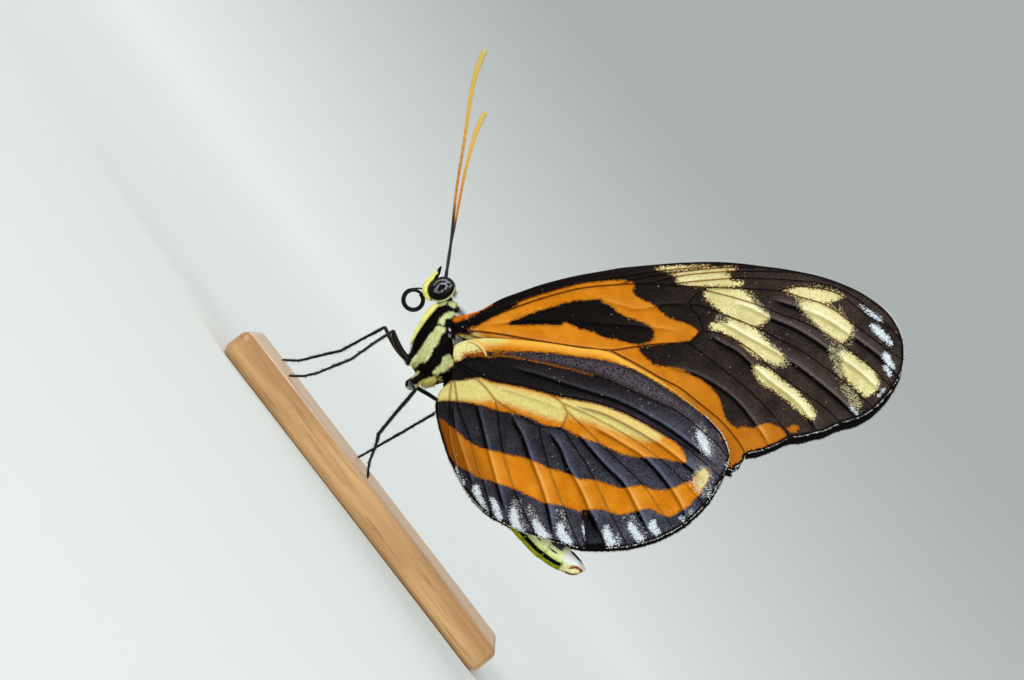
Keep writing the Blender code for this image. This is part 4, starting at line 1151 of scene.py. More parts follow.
def make_wings():
    paint = WingPaint().material
    fringe = fringe_paint()
    forewing = forewing_sheet()
    for side_name, side in SIDES.items():
        hindwing = hindwing_sheet(torn=side == LEFT)
        wings = {"forewing": (forewing, forewing_offsets), "hindwing": (hindwing, hindwing_offsets)}
        for wing, (sheet, offsets) in wings.items():
            name = f"{wing}_{side_name}"
            finish_piece(wing_object(f"{name}_scaled", wing, sheet, offsets, side), paint, "wing", name)
            make_fringe(f"{name}_fringe", wing, sheet, offsets, side, fringe, name)


def ring_faces(rings, sides):
    """Quads between rings of this many places, and a fan of corners at either end."""
    faces = []
    for ring in range(rings - 1):
        low, high = ring * sides, (ring + 1) * sides
        for k in range(sides):
            after = (k + 1) % sides
            faces.append((low + k, high + k, high + after, low + after))
    last = (rings - 1) * sides
    faces.append(tuple(range(sides)))
    faces.append(tuple(last + k for k in reversed(range(sides))))
    return faces


def lofted(name, stations, spacing=0.9, sides=40, shrink=SKIN_DEPTH, growth=None):
    """A closed body on the stations: half depths in the side view and half widths across it."""
    stations = np.array([(x, y, depth * UNIT, width * MM) for x, y, depth, width in stations])
    scaled = stations * (1, 1, 1 / UNIT, 1 / UNIT)
    line = curve_through(scaled, spacing)
    places = []
    for station, way in zip(line, ways_along(line[:, :2])):
        grown = 1.0 if growth is None else growth(station[:2])
        depth = max(station[2] * grown - shrink / UNIT, 0.4)
        width = max(station[3] * grown * UNIT - shrink, 0.04 * MM)
        for k in range(sides):
            angle = 2 * math.pi * k / sides
            x = station[0] + way[1] * depth * math.cos(angle)
            y = station[1] - way[0] * depth * math.cos(angle)
            places.append(spot(x, y, width * math.sin(angle)))
    return body_of(name, places, ring_faces(len(line), sides))


def from_lowest(corners):
    """A face's corners in their order round it, from the lowest."""
    first = corners.index(min(corners))
    return corners[first:] + corners[:first]


def ball(name, x, y, offset, radii, tilt=0.0, segments=48):
    """An ellipsoid: its first two radii lie in the side view, the first tilted up, the third across it."""
    form = bmesh.new()
    bmesh.ops.create_uvsphere(form, u_segments=segments, v_segments=segments // 2, radius=1.0)
    centre = spot(x, y, offset)
    for vertex in form.verts:
        across = vertex.co.z * radii[2]
        far, high = turned(vertex.co.x * radii[0], vertex.co.y * radii[1], POSE_TURN + tilt)
        vertex.co = (far, across, high)
        vertex.co += centre
    bmesh.ops.recalc_face_normals(form, faces=form.faces)
    # A sphere's corners and faces come in another order each time, so they are put in a steady one.
    form.verts.index_update()
    corners = sorted(form.verts, key=lambda vertex: tuple(vertex.co))
    order = {vertex.index: step for step, vertex in enumerate(corners)}
    places = [tuple(vertex.co) for vertex in corners]
    faces = sorted(from_lowest([order[vertex.index] for vertex in face.verts]) for face in form.faces)
    form.free()
    return body_of(name, places, faces)


def swept(places, radii, sides, flatten=(1.0, 1.0)):
    """A closed tube through the places: its vertices, faces, and how far along it each vertex is."""
    places = np.asarray(places, dtype=float)
    ways = ways_along(places)
    side = np.cross(ways[0], (0.0, 1.0, 0.0))
    if np.linalg.norm(side) < 0.1:
        side = np.cross(ways[0], (1.0, 0.0, 0.0))
    vertices, along = [], []
    for step, (place, way, radius) in enumerate(zip(places, ways, radii)):
        side = side - way * np.dot(side, way)
        side /= np.linalg.norm(side)
        other = np.cross(way, side)
        for k in range(sides):
            angle = 2 * math.pi * k / sides
            out = side * math.cos(angle) * flatten[0] + other * math.sin(angle) * flatten[1]
            vertices.append(place + out * radius)
            along.append(step / (len(places) - 1))
    return vertices, ring_faces(len(places), sides), along


def merge(parts):
    """Several (vertices, faces, along) as one."""
    vertices, faces, along = [], [], []
    for part_vertices, part_faces, part_along in parts:
        first = len(vertices)
        vertices += list(part_vertices)
        faces += [tuple(first + corner for corner in face) for face in part_faces]
        along += list(part_along)
    return vertices, faces, along


def thin_line(stations, side, spacing, floor_drop=0.0, straight=False):
    """Places and radii along a line through the stations, the last of them let down by floor_drop."""
    points = [(x, y, offset * MM / UNIT, radius * MM / UNIT) for x, y, offset, radius in stations]
    line = even_steps(points, spacing) if straight else curve_through(points, spacing)
    places = np.array([spot(x, y, side * offset * UNIT) for x, y, offset, _ in line])
    if floor_drop:
        share = np.linspace(0.0, 1.0, len(places))
        places[:, 2] -= floor_drop * smooth_step(share, 0.55, 1.0)
    return places, line[:, 3] * UNIT


class Coat:
    """Small closed tufts, each a tapered and bent three-sided blade."""

    def __init__(self, name, random_seed):
        self.name = name
        self.random = np.random.default_rng(random_seed)
        self.roots, self.normals, self.blades, self.charts = [], [], [], []

    def grow(self, roots, normals, lies, length, width, lift, charts, limp=0.5):
        """Tufts at the roots that lean from the lie by lift, in radians, and bend back towards it."""
        count = len(roots)
        lies = lies - normals * (lies * normals).sum(axis=1)[:, None]
        lies += self.random.normal(0.0, 0.18, lies.shape)
        lies -= normals * (lies * normals).sum(axis=1)[:, None]
        lies /= np.maximum(np.linalg.norm(lies, axis=1), 1e-9)[:, None]
        across = np.cross(normals, lies)
        lengths = (length * self.random.uniform(0.65, 1.25, count))[:, None]
        widths = (width * self.random.uniform(0.8, 1.2, count))[:, None] / 2
        lifts = (lift * self.random.uniform(0.6, 1.4, count))[:, None]
        way = lies * np.cos(lifts) + normals * np.sin(lifts)
        late = lies * np.cos(lifts * limp) + normals * np.sin(lifts * limp)
        middle = roots + way * lengths * 0.5
        tip = middle + late * lengths * 0.5
        sunk = roots - normals * widths
        thick = normals * widths * 0.6
        base = [sunk + across * widths, sunk - across * widths, sunk + thick]
        waist = [middle + across * widths * 0.9, middle - across * widths * 0.9, middle + thick]
        blade = np.stack([*base, *waist, tip], axis=1)
        self.roots.append(roots)
        self.normals.append(normals)
        self.blades.append(blade)
        self.charts.append(charts[:, None, :] + TUFT_PATCH[None] * CHART_PATCH)

    def make(self, facts_at):
        """The coat's object, with the facts of the skin at each tuft's root."""
        blades = np.concatenate(self.blades)
        count, size = blades.shape[:2]
        faces = (TUFT_FACES[None] + size * np.arange(count)[:, None, None]).reshape(-1, 3)
        mesh = mesh_of(self.name, blades.reshape(-1, 3).tolist(), faces.tolist())
        # The tufts are shaded as the skin is, so that they take its form's light.
        normals = np.repeat(np.concatenate(self.normals), size, axis=0)
        mesh.normals_split_custom_set_from_vertices(normals.tolist())
        facts = facts_at(np.concatenate(self.roots))
        facts["tone"] = self.random.uniform(0.0, 1.0, count)
        add_facts(mesh, {name: np.repeat(values, size) for name, values in facts.items()})
        chart = mesh.uv_layers.new(name="OFBake")
        chart.data.foreach_set("uv", np.concatenate(self.charts).reshape(-1, 2)[faces.ravel()].ravel())
        return new_object(self.name, mesh)


def vertices_of(mesh):
    places = np.empty(3 * len(mesh.vertices))
    mesh.vertices.foreach_get("co", places)
    return places.reshape(-1, 3)


def scattered(mesh, density, random, keep=None):
    """Random places on a mesh, so many to a square metre, with their normals."""
    mesh.calc_loop_triangles()
    corners = np.empty(3 * len(mesh.loop_triangles), dtype=int)
    mesh.loop_triangles.foreach_get("vertices", corners)
    a, b, c = vertices_of(mesh)[corners].reshape(-1, 3, 3).transpose(1, 0, 2)
    normals = np.cross(b - a, c - a)
    areas = np.linalg.norm(normals, axis=1) / 2
    count = int(areas.sum() * density)
    chosen = random.choice(len(areas), count, p=areas / areas.sum())
    u, v = random.uniform(size=(2, count))
    over = u + v > 1
    u[over], v[over] = 1 - u[over], 1 - v[over]
    found = a[chosen] + (b - a)[chosen] * u[:, None] + (c - a)[chosen] * v[:, None]
    normals = normals[chosen] / np.maximum(areas[chosen] * 2, 1e-20)[:, None]
    if keep is not None:
        kept = keep(found)
        found, normals = found[kept], normals[kept]
    return found, normals


def abdomen_frame(flat):
    """How far along the abdomen each side-view point is, and how high, from -1 below to 1 above."""
    line = curve_through(ABDOMEN_LINE, 2.0)
    depths = curve_through(ABDOMEN, 2.0)
    away, along, side = nearest(flat, line).T
    shares = np.linspace(0.0, 1.0, len(depths))
    depth = np.interp(along, shares, depths[:, 2])
    before_tip = (1 - along) * np.linalg.norm(np.diff(line, axis=0), axis=1).sum()
    stops = np.array((260, *SEAMS, 0.0))[::-1]
    phase = np.interp(before_tip, stops, np.arange(len(stops))[::-1]) % 1.0
    return along, -side * away / depth, phase


def body_facts(places):
    flat = side_view(places)
    along, height, phase = abdomen_frame(flat)
    tail = smooth_step(along, 0.05, 0.08) * (nearest(flat, ABDOMEN_LINE)[:, 0] < ABDOMEN_REACH)
    facts = {name: deepest(flat, outlines) for name, outlines in BODY_MARKINGS.items()}
    return facts | {"phase": phase, "height": height, "late": smooth_step(along, 0.905, 0.92), "tail": tail,
                    "tone": np.full(len(flat), 0.5)}


def body_lie(places):
    """Which way the hairs lie: back over the head, down and forward over the chest, and along the abdomen."""
    flat = side_view(places)
    line = curve_through(ABDOMEN_LINE, 2.0)
    along = nearest(flat, line)[:, 1]
    ways = np.gradient(line, axis=0)[np.minimum((along * len(line)).astype(int), len(line) - 1)]
    upper = smooth_step(flat[:, 0], 440, 455)[:, None]
    thorax = CHEST_LIE * (1 - upper) + BACK_LIE * upper
    tail = smooth_step(along, 0.0, 0.08)[:, None]
    head = smooth_step(-flat[:, 1], -303, -299)[:, None]
    flow = (thorax * (1 - head) + HEAD_LIE * head) * (1 - tail) + ways * tail
    return flow[:, :1] * RIGHTWARD - flow[:, 1:] * UPWARD


def body_charts(places):
    """Where each place lies on the body's own map: along it, and round it."""
    flat = side_view(places)
    away, along, side = nearest(flat, curve_through(BODY_LINE, 2.0)).T
    angle = np.arctan2(places[:, 1], side * away * UNIT)
    return np.stack([0.01 + 0.98 * along, 0.01 + 0.98 * (angle / (2 * math.pi) + 0.5)], axis=1)


def make_skin():
    """Thorax, head and abdomen as one skin, a coat's depth inside the solids."""
    def overlap(place):
        phase = abdomen_frame(np.array([place]))[2][0]
        return 1.0 - SEGMENT_STEP * (1 - phase) ** 2

    parts = [lofted("thorax_form", THORAX), lofted("head_form", HEAD, shrink=0.03 * MM),
             lofted("neck_form", NECK, shrink=0.0),
             lofted("abdomen_form", ABDOMEN, growth=overlap, spacing=0.5)]
    for side in (LEFT, RIGHT):
        parts.append(ball("valve_form", *VALVE, side * VALVE_OFFSET, VALVE_RADII, VALVE_TILT))
        for x, y, offset, radius in (FOREWING_BOSS, HINDWING_BOSS):
            parts.append(ball("boss_form", x, y, side * offset, (radius - SKIN_DEPTH,) * 3))
        for start, end in COXAE:
            line = [spot(start[0], start[1], side * start[2]), spot(end[0], end[1], side * end[2])]
            vertices, faces, _ = swept(even_steps(line, 0.1 * MM), [COXA_RADIUS - SKIN_DEPTH] * 40, 16)
            parts.append(body_of("coxa_form", vertices, faces))
            x, y, offset = end
            parts.append(ball("coxa_end_form", x, y, side * offset, (COXA_RADIUS - SKIN_DEPTH,) * 3))
    whole = merge([([vertex.co.copy() for vertex in part.data.vertices],
                    [tuple(face.vertices) for face in part.data.polygons], []) for part in parts])
    skin = body_of("body_skin", whole[0], whole[1])
    for part in parts:
        bpy.data.objects.remove(part)
    remesh = skin.modifiers.new("one_skin", "REMESH")
    remesh.mode = "VOXEL"
    remesh.voxel_size = SKIN_GRAIN
    smooth = skin.modifiers.new("smooth", "SMOOTH")
    smooth.iterations = 4
    skin.data = bpy.data.meshes.new_from_object(skin.evaluated_get(bpy.context.evaluated_depsgraph_get()))
    skin.modifiers.clear()
    skin.data.shade_smooth()
    add_facts(skin.data, body_facts(vertices_of(skin.data)))
    return skin


def body_paint():
    """Matt scales: black with pale stripes on the chest, and the abdomen's bands."""
    paint = Paint("body_scales", 0.65, 0.05)
    ragged, shade, rare, middle = paint.cells(paint.places((0.09 * MM, 0.05 * MM, 0.07 * MM), POSE_TURN))
    drift = paint.noise(paint.places((0.35 * MM,) * 3))
    waver = paint.sum(paint.spread(ragged, -0.7, 0.7), paint.spread(drift, -0.9, 0.9))
    tone = paint.spread(paint.fact("tone"), -0.35, 0.35)
    shade = paint.math("ADD", shade, tone, clamped=True)
    colour = paint.mix(shade, (3, 2, 2), (21, 17, 16))
    for marking, low, high in (("cream", (192, 200, 112), (248, 250, 200)),
                               ("yellow", (242, 232, 92), (255, 252, 170)),
                               ("white", (206, 208, 200), (246, 246, 242))):
        share = paint.step(paint.sum(paint.fact(marking), waver), -0.6, 0.6)
        colour = paint.mix(share, colour, paint.mix(shade, low, high))
    colour = paint.mix(paint.fact("tail"), colour, tail_colour(paint, shade, drift, waver))
    paint.set("Base Color", colour)
    paint.bump(middle, 0.008 * MM, 0.5)
    return paint.material


def tail_colour(paint, shade, drift, waver):
    """The abdomen: a yellow underside, pale flanks with a black stripe and dashes, and a grey back."""
    height = paint.sum(paint.fact("height"), paint.times(waver, 0.04))
    phase = paint.fact("phase")
    early = paint.math("SUBTRACT", 1.0, paint.fact("late"))
    ventral = paint.mix(paint.step(drift, 0.35, 0.65), (132, 164, 20), (206, 208, 34))
    flank = paint.mix(shade, (222, 228, 140), (250, 252, 204))
    green = paint.times(paint.step(height, 0.0, -0.4), paint.spread(early, 0.0, 0.7))
    flank = paint.mix(green, flank, (186, 216, 84))
    stripe = paint.times(paint.step(height, -0.69, -0.63), paint.step(height, -0.31, -0.37))
    stripe = paint.times(stripe, paint.step(phase, 0.01, 0.06))
    dash = paint.times(paint.step(height, 0.04, 0.1), paint.step(height, 0.22, 0.16))
    dash = paint.times(dash, paint.step(phase, 0.1, 0.2))
    dash = paint.times(dash, paint.step(phase, 0.6, 0.5))
    dorsal = paint.times(paint.step(height, 0.42, 0.5), paint.step(phase, 0.78, 0.68))
    top = paint.times(paint.step(height, 0.74, 0.84), paint.fact("late"))
    edge = paint.sum(height, paint.spread(early, 0.25, 0.0))
    tip = paint.step(paint.sum(paint.fact("tip"), waver), -0.6, 0.6)
    rust = paint.step(paint.sum(paint.fact("rust"), waver), -0.9, 0.2)
    tail = paint.mix(paint.step(edge, -0.7, -0.62), ventral, flank)
    for share, colour in ((paint.times(paint.step(phase, 0.12, 0.03), 0.6), (104, 96, 40)),
                          (paint.times(paint.sum(stripe, dash), early), (14, 11, 9)),
                          (paint.times(dorsal, early), paint.mix(shade, (40, 36, 38), (92, 88, 90))),
                          (tip, paint.mix(shade, (228, 228, 224), (254, 254, 250))),
                          (top, (28, 24, 24)), (rust, (136, 58, 10))):
        tail = paint.mix(share, tail, colour)
    return tail


def make_body():
    paint = body_paint()
    skin = make_skin()
    finish_piece(skin, paint, "body", "thorax", "head", "abdomen")
    for name, node, slot, density, length, width, lift, keep in COATS:
        coat = Coat(name, len(name))
        roots, normals = scattered(skin.data, density, coat.random, keep)
        coat.grow(roots, normals, body_lie(roots), length, width, lift, body_charts(roots))
        finish_piece(coat.make(body_facts), paint, slot, node)
    make_ruffs(skin)
    return paint


def on_head(places):
    flat = side_view(places)
    return (flat < HEAD_REACH).all(axis=1)


def on_abdomen(places):
    flat = side_view(places)
    along = abdomen_frame(flat)[0]
    near = nearest(flat, ABDOMEN_LINE)[:, 0] < ABDOMEN_REACH
    return (along > 0.03) & near & (flat[:, 1] > ABDOMEN_TOP)


def on_thorax(places):
    return ~on_head(places) & ~on_abdomen(places)


# Each coat: its name, the solid it covers, its slot, tufts to a square metre, their length, width and lift,
# and where they grow.
COATS = [
    ("thorax_coat", "thorax", "body", 140e6, 0.27 * MM, 0.07 * MM, 0.32, on_thorax),
    ("head_coat", "head", "body", 220e6, 0.25 * MM, 0.04 * MM, 0.6, on_head),
    ("abdomen_coat", "abdomen", "abdomen", 85e6, 0.22 * MM, 0.085 * MM, 0.12, on_abdomen),
]


def eye_paint():
    """Glossy and black, with a lattice of grey lines and very fine facets."""
    paint = Paint("eye_facets", 0.3, 0.14)
    grain = paint.noise(paint.places((0.05 * MM,) * 3))
    waver = paint.spread(grain, -0.5, 0.5)
    cloud = paint.noise(paint.places((0.12 * MM,) * 3), 1.0)
    away = paint.sum(paint.fact("lattice"), waver, paint.spread(cloud, 1.3, -1.3))
    lattice = paint.step(away, EYE_LINE_WIDTH + 0.7, EYE_LINE_WIDTH - 0.7)
    grey = paint.mix(paint.step(cloud, 0.35, 0.65), (78, 74, 76), (158, 161, 168))
    rim = paint.step(paint.fact("rim"), 3.6, 1.6)
    colour = paint.mix(lattice, (4, 3, 4), grey)
    colour = paint.mix(paint.times(rim, 0.5), colour, (54, 42, 38))
    paint.set("Base Color", colour)
    facets = paint.cells(paint.places((0.022 * MM,) * 3))
    paint.bump(facets[3], 0.002 * MM, 0.3)
    return paint.material


def make_eyes():
    paint = eye_paint()
    for side_name, side in SIDES.items():
        radii = (EYE_AXES[0] * UNIT, EYE_AXES[1] * UNIT, EYE_HALF_WIDTH)
        eye = ball(f"eye_{side_name}_facets", *EYE_CENTRE, side * EYE_OFFSET, radii, EYE_TILT, 160)
        flat = side_view(vertices_of(eye.data))
        top = curve_through(EYE_TOP, 1.0)
        lines = [nearest(flat, curve_through(line, 0.7))[:, 0] for line in EYE_LINES]
        knots = [np.linalg.norm(flat - np.array(knot), axis=1) - EYE_KNOT_SIZE for knot in EYE_KNOTS]
        add_facts(eye.data, {"lattice": np.min([*lines, *knots], axis=0), "rim": nearest(flat, top)[:, 0]})
        finish_piece(eye, paint, "eye", f"eye_{side_name}")


def limb_facts(places, markings):
    """The facts of a pale limb: each marking inside its outline, or all over where it has none."""
    flat = side_view(places)
    none = np.full(len(flat), -FAR)
    facts = {name: none for name in BODY_MARKINGS}
    facts |= {name: np.zeros(len(flat)) for name in ("phase", "height", "late", "tail")}
    facts["tone"] = np.full(len(flat), 0.5)
    for marking, outline in markings.items():
        facts[marking] = depth_in(flat, outline) if outline else -none
    return facts


def haired_tube(name, stations, side, paint, node, markings, hair):
    """A tapered tube with the body's scales, under tufts along it."""
    places, radii = thin_line(stations, side, 1.0)
    vertices, faces, _ = swept(places, radii, 20)
    tube = body_of(name, vertices, faces)
    add_facts(tube.data, limb_facts(np.array(vertices), markings))
    finish_piece(tube, paint, "body", node)
    density, length, width, lift = hair
    coat = Coat(f"{name}_coat", len(name) + side)
    roots, normals = scattered(tube.data, density, coat.random)
    tree = tree_of(places)
    steps = np.array([tree.find(root)[1] for root in roots])
    ways = ways_along(places)[steps]
    around = np.arctan2(normals[:, 1], normals[:, 0]) / (2 * math.pi) + 0.5
    charts = np.stack([0.02 + 0.96 * steps / len(places), 0.02 + 0.96 * around], axis=1)
    coat.grow(roots, normals, ways, length, width, lift, charts)
    finish_piece(coat.make(lambda found: limb_facts(found, markings)), paint, "body", node)


def make_face(paint):
    for side_name, side in SIDES.items():
        for limb, stations, outline, hair in (("palp", PALP, PALP_YELLOW, PALP_HAIR),
                                              ("foreleg", FORELEG, None, FORELEG_HAIR)):
            node = f"{limb}_{side_name}"
            haired_tube(f"{node}_scaled", stations, side, paint, node, {"yellow": outline}, hair)


def make_eye_rims(paint):
    """A fine line of pale scales under and behind each eye."""
    for side_name, side in SIDES.items():
        points = []
        for angle in np.radians(np.linspace(*EYE_RIM_SPAN, 24)):
            along = (EYE_AXES[0] + EYE_RIM_GAP) * math.cos(angle)
            up = (EYE_AXES[1] + EYE_RIM_GAP) * math.sin(angle)
            x = EYE_CENTRE[0] + along * math.cos(EYE_TILT) - up * math.sin(EYE_TILT)
            y = EYE_CENTRE[1] - along * math.sin(EYE_TILT) - up * math.cos(EYE_TILT)
            points.append(spot(x, y, side * EYE_RIM_OFFSET))
        radii = EYE_RIM_RADIUS * np.sin(np.linspace(0.25, math.pi - 0.25, len(points)))
        vertices, faces, _ = swept(points, radii, 10)
        rim = body_of(f"eye_rim_{side_name}", vertices, faces)
        add_facts(rim.data, limb_facts(np.array(vertices), {"cream": None}))
        finish_piece(rim, paint, "body", "head")


def hair_paint(name, dark, light):
    """Fine hairs, each its own tone between two colours."""
    paint = Paint(name, 0.6, 0.1)
    paint.set("Base Color", paint.mix(paint.fact("tone"), dark, light))
    return paint.material


def make_ruffs(skin):
    """Long fine hairs in some places: grey on the neck and at the wings' roots, yellow under the thorax."""
    for name, node, outline, colours, density, length, lift in RUFFS:
        coat = Coat(name, len(name) + 3)
        roots, normals = scattered(skin.data, density, coat.random,
                                   lambda places: depth_in(side_view(places), outline) > 0)
        coat.grow(roots, normals, body_lie(roots), length, RUFF_WIDTH, lift, body_charts(roots), 0.8)
        finish_piece(coat.make(lambda found: {}), hair_paint(name, *colours), "body", node)


def make_tegulae():
    """The orange lobe over each forewing's root, under short hairs."""
    paint = hair_paint("tegula_hairs", (190, 76, 2), (252, 150, 22))
    for side_name, side in SIDES.items():
        lobe = ball(f"tegula_{side_name}", *TEGULA, side * TEGULA_OFFSET, TEGULA_RADII, TEGULA_TILT)
        add_facts(lobe.data, {"tone": np.full(len(lobe.data.vertices), 0.5)})
        finish_piece(lobe, paint, "body", "thorax")
        coat = Coat(f"tegula_{side_name}_coat", 11 + side)
        density, *form = TEGULA_HAIR
        roots, normals = scattered(lobe.data, density, coat.random)
        turn = POSE_TURN + TEGULA_LIE
        back = np.tile((math.cos(turn), 0.0, math.sin(turn)), (len(roots), 1))
        coat.grow(roots, normals, back, *form, body_charts(roots))
        finish_piece(coat.make(lambda found: {}), paint, "body", "thorax")


def horn_paint():
    """Satin black horn, a little brown in patches."""
    paint = Paint("black_horn", 0.36, 0.22)
    grain = paint.noise(paint.places((0.12 * MM,) * 3))
    paint.set("Base Color", paint.mix(paint.step(grain, 0.4, 0.7), (5, 4, 4), (22, 17, 16)))
    paint.bump(paint.noise(paint.places((0.03 * MM,) * 3)), 0.006 * MM, 0.35)
    return paint.material


def make_proboscis(paint):
    """A flat coil of round turns, and the stem that leads to the mouth."""
    steps = int(COIL_TURNS * COIL_STEPS)
    line = []
    for step in range(steps + 1):
        share = step / steps
        angle = COIL_END + (1 - share) * COIL_TURNS * 2 * math.pi
        radius = (COIL_RADII[0] + (COIL_RADII[1] - COIL_RADII[0]) * share) / UNIT
        line.append((COIL_CENTRE[0] + radius * math.cos(angle), COIL_CENTRE[1] - radius * math.sin(angle)))
    stem = curve_through([line[-8], line[-1], *PROBOSCIS_STEM], 0.8)
    line = np.array(line[:-8] + [tuple(point) for point in stem])
    places = [spot(x, y, 0.0) for x, y in line]
    share = np.linspace(0.0, 1.0, len(places))
    radii = COIL_SIZE[0] * (0.75 + 0.25 * smooth_step(share, 0.0, 0.1))
    rings = 1 + 0.035 * np.cos(np.arange(len(places)) * math.pi)
    vertices, faces, _ = swept(places, radii * rings, 16, (1.0, COIL_SIZE[1] / COIL_SIZE[0]))
    finish_piece(body_of("proboscis_coil", vertices, faces), paint, "limb", "proboscis")


def antenna_paint():
    """Black at the base, then brown, then orange with fine dark rings, and paler at the tip."""
    paint = Paint("antenna_rings", 0.45)
    along = paint.fact("along")
    grain = paint.noise(paint.places((0.08 * MM,) * 3))
    phase = paint.math("FRACT", paint.times(along, ANTENNA_RINGS))
    orange = paint.mix(paint.step(along, 0.4, 0.75), (206, 122, 14), (222, 172, 54))
    orange = paint.mix(paint.step(along, 0.8, 0.98), orange, (206, 180, 96))
    orange = paint.mix(paint.times(paint.step(grain, 0.5, 0.8), 0.5), orange, (232, 186, 84))
    ring = paint.times(paint.step(phase, 0.14, 0.06), paint.step(along, 0.8, 0.5))
    colour = paint.mix(paint.times(ring, 0.85), orange, (88, 38, 8))
    colour = paint.mix(paint.step(along, 0.36, 0.3), colour, (120, 54, 8))
    colour = paint.mix(paint.step(along, 0.32, 0.27), colour, (8, 6, 6))
    paint.set("Base Color", colour)
    return paint.material


def make_antennae():
    paint = antenna_paint()
    for side_name, side in SIDES.items():
        places, radii = thin_line(ANTENNAE[side_name], side, 0.5)
        share = np.linspace(0.0, 1.0, len(places))
        phase = share * ANTENNA_RINGS % 1.0
        radii = radii * (1 - 0.08 * np.exp(-((phase - 0.1) ** 2) / 0.01) * (share < 0.9))
        vertices, faces, along = swept(places, radii, 16)
        piece = body_of(f"antenna_{side_name}_rings", vertices, faces)
        add_facts(piece.data, {"along": np.array(along)})
        finish_piece(piece, paint, "antenna", f"antenna_{side_name}")


def spine(root, way, length, radius):
    """A thin spike from the root along the way."""
    places = [root + way * length * share for share in (0.0, 0.5, 1.0)]
    return swept(places, [radius, radius * 0.7, radius * 0.12], 5)


def leg_parts(name, side):
    femur, shank = LEGS[name]
    parts = []
    places, radii = thin_line(femur, side, 1.2)
    parts.append(swept(places, radii, 14))
    last_x, last_y = shank[-1][:2]
    drop = spot(last_x, last_y).z - (BASE_TOP + shank[-1][3] * MM)
    places, radii = thin_line(shank, side, 1.0, drop, straight=True)
    share = np.linspace(0.0, 1.0, len(places))
    tarsus = share - (1 - TARSUS_SHARE)
    joints = np.abs((tarsus / TARSUS_SHARE * TARSUS_JOINTS) % 1.0 - 0.5)
    radii = radii * np.where(tarsus > 0, 1.12 - 0.5 * np.maximum(joints - 0.2, 0.0), 1.0)
    knob = np.exp(-((tarsus / 0.014) ** 2))
    parts.append(swept(places, radii * (1 + 0.3 * knob), 14))
    ways = [Vector(way) for way in ways_along(places)]
    random.seed(len(name) + side)
    for step in range(4, len(places) - 2):
        for _ in range(SPINES_AROUND):
            turn = Vector([random.gauss(0.0, 1.0) for _ in range(3)])
            out = (turn - ways[step] * turn.dot(ways[step])).normalized()
            lean = (out + ways[step]).normalized()
            root = Vector(places[step]) + out * radii[step] * 0.8
            parts.append(spine(root, lean, random.uniform(*SPINE_LENGTHS) * MM, SPINE_RADIUS))
    knee = int(len(places) * (1 - TARSUS_SHARE))
    for fork in (LEFT, RIGHT):
        lean = (ways[knee] + Vector((0.0, 0.35 * fork, 0.0))).normalized()
        parts.append(spine(Vector(places[knee]), lean, *SPUR))
        claw = (ways[-1] * 0.8 + Vector((0.0, 0.5 * fork, -0.1))).normalized()
        parts.append(spine(Vector(places[-1]), claw, *CLAW))
    return parts


def make_legs(paint):
    for name in LEGS:
        side = LEFT if name.endswith("left") else RIGHT
        vertices, faces, _ = merge(leg_parts(name, side))
        finish_piece(body_of(f"{name}_horn", vertices, faces), paint, "limb", name)


def wood_paint():
    """Oiled wood with fine grain along the plate."""
    paint = Paint("oiled_wood", 0.42)
    places = paint.places((14 * MM, 1.6 * MM, 1.6 * MM))
    streaks = paint.noise(places, 5.0)
    fine = paint.noise(paint.places((5 * MM, 0.16 * MM, 0.3 * MM)), 3.0)
    colour = paint.mix(paint.step(streaks, 0.3, 0.7), (176, 132, 84), (206, 164, 112))
    colour = paint.mix(paint.times(paint.step(fine, 0.52, 0.75), 0.55), colour, (134, 92, 52))
    paint.set("Base Color", colour)
    paint.bump(fine, 0.03 * MM, 0.3)
    return paint.material


def make_base():
    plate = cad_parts["stand_base"]
    plate.data.materials.clear()
    plate.data.materials.append(wood_paint())


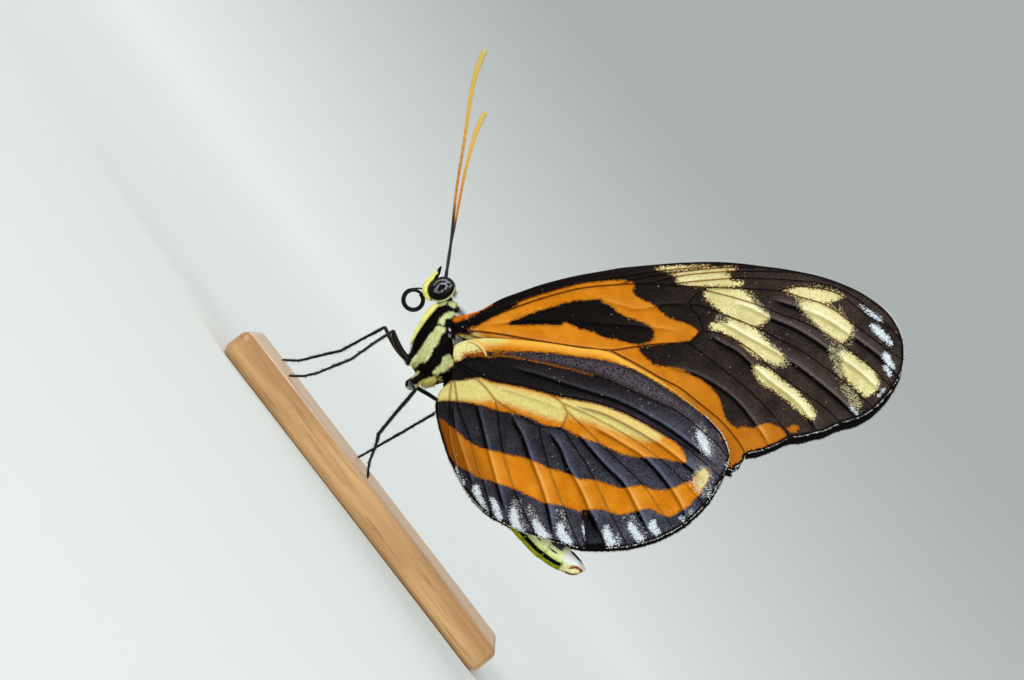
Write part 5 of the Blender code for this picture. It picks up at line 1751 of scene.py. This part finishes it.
def make_stage():
    """One large pale dish: its floor runs smoothly up into a rim, so that no edge crosses the picture."""
    bend = [(FLOOR_RADIUS + RIM_RADIUS * math.sin(angle), RIM_RADIUS * (1 - math.cos(angle)))
            for angle in np.linspace(0.0, math.pi / 2, 49)]
    profile = [(0.3, 0.0), *bend, (FLOOR_RADIUS + RIM_RADIUS, RIM_HEIGHT)]
    sides = 96
    places = [(0.0, 0.0, 0.0)]
    for radius, height in profile:
        for angle in np.linspace(0.0, 2 * math.pi, sides, endpoint=False):
            places.append((radius * math.cos(angle), radius * math.sin(angle), height))
    faces = [(0, 1 + k, 1 + (k + 1) % sides) for k in range(sides)]
    for ring in range(len(profile) - 1):
        low, high = 1 + ring * sides, 1 + (ring + 1) * sides
        for k in range(sides):
            faces.append((low + k, high + k, high + (k + 1) % sides, low + (k + 1) % sides))
    floor = body_of("studio_floor", places, faces)
    paint = Paint("studio_floor", 0.9)
    paint.set("Base Color", (226, 229, 224))
    floor.data.materials.append(paint.material)


def add_lamp(name, place, size, power, colour):
    lamp = bpy.data.lights.new(name, "AREA")
    lamp.shape = "DISK"
    lamp.size = size
    lamp.energy = power
    lamp.color = colour
    made = new_object(name, lamp)
    made.location = place
    aim = Vector((0.0, 0.0, 0.02)) - Vector(place)
    made.rotation_euler = aim.to_track_quat("-Z", "Y").to_euler()


def light_stage():
    world = bpy.data.worlds.new("studio")
    world.use_nodes = True
    background = world.node_tree.nodes["Background"]
    background.inputs["Color"].default_value = linear(236, 242, 250)
    background.inputs["Strength"].default_value = 0.55
    bpy.context.scene.world = world
    for lamp in LAMPS:
        add_lamp(*lamp)


def add_camera():
    """The camera is turned with the pose, so that the side view's up is its own."""
    camera = bpy.data.cameras.new("camera")
    camera.lens = LENS
    camera.sensor_width = SENSOR
    camera.clip_start = 0.01
    made = new_object("camera", camera)
    distance = VIEW_SIZE[0] * UNIT * LENS / SENSOR
    right, up = Vector(RIGHTWARD), Vector(UPWARD)
    back = right.cross(up)
    turn = Matrix((right, up, back)).transposed().to_4x4()
    made.matrix_world = Matrix.Translation(spot(VIEW_SIZE[0] / 2, VIEW_SIZE[1] / 2, -distance)) @ turn
    bpy.context.scene.camera = made
    bpy.context.scene.view_settings.view_transform = "Standard"


add_camera()
make_stage()
light_stage()
make_wings()
body_scales = make_body()
make_eyes()
make_eye_rims(body_scales)
make_face(body_scales)
make_tegulae()
horn = horn_paint()
make_proboscis(horn)
make_antennae()
make_legs(horn)
make_base()
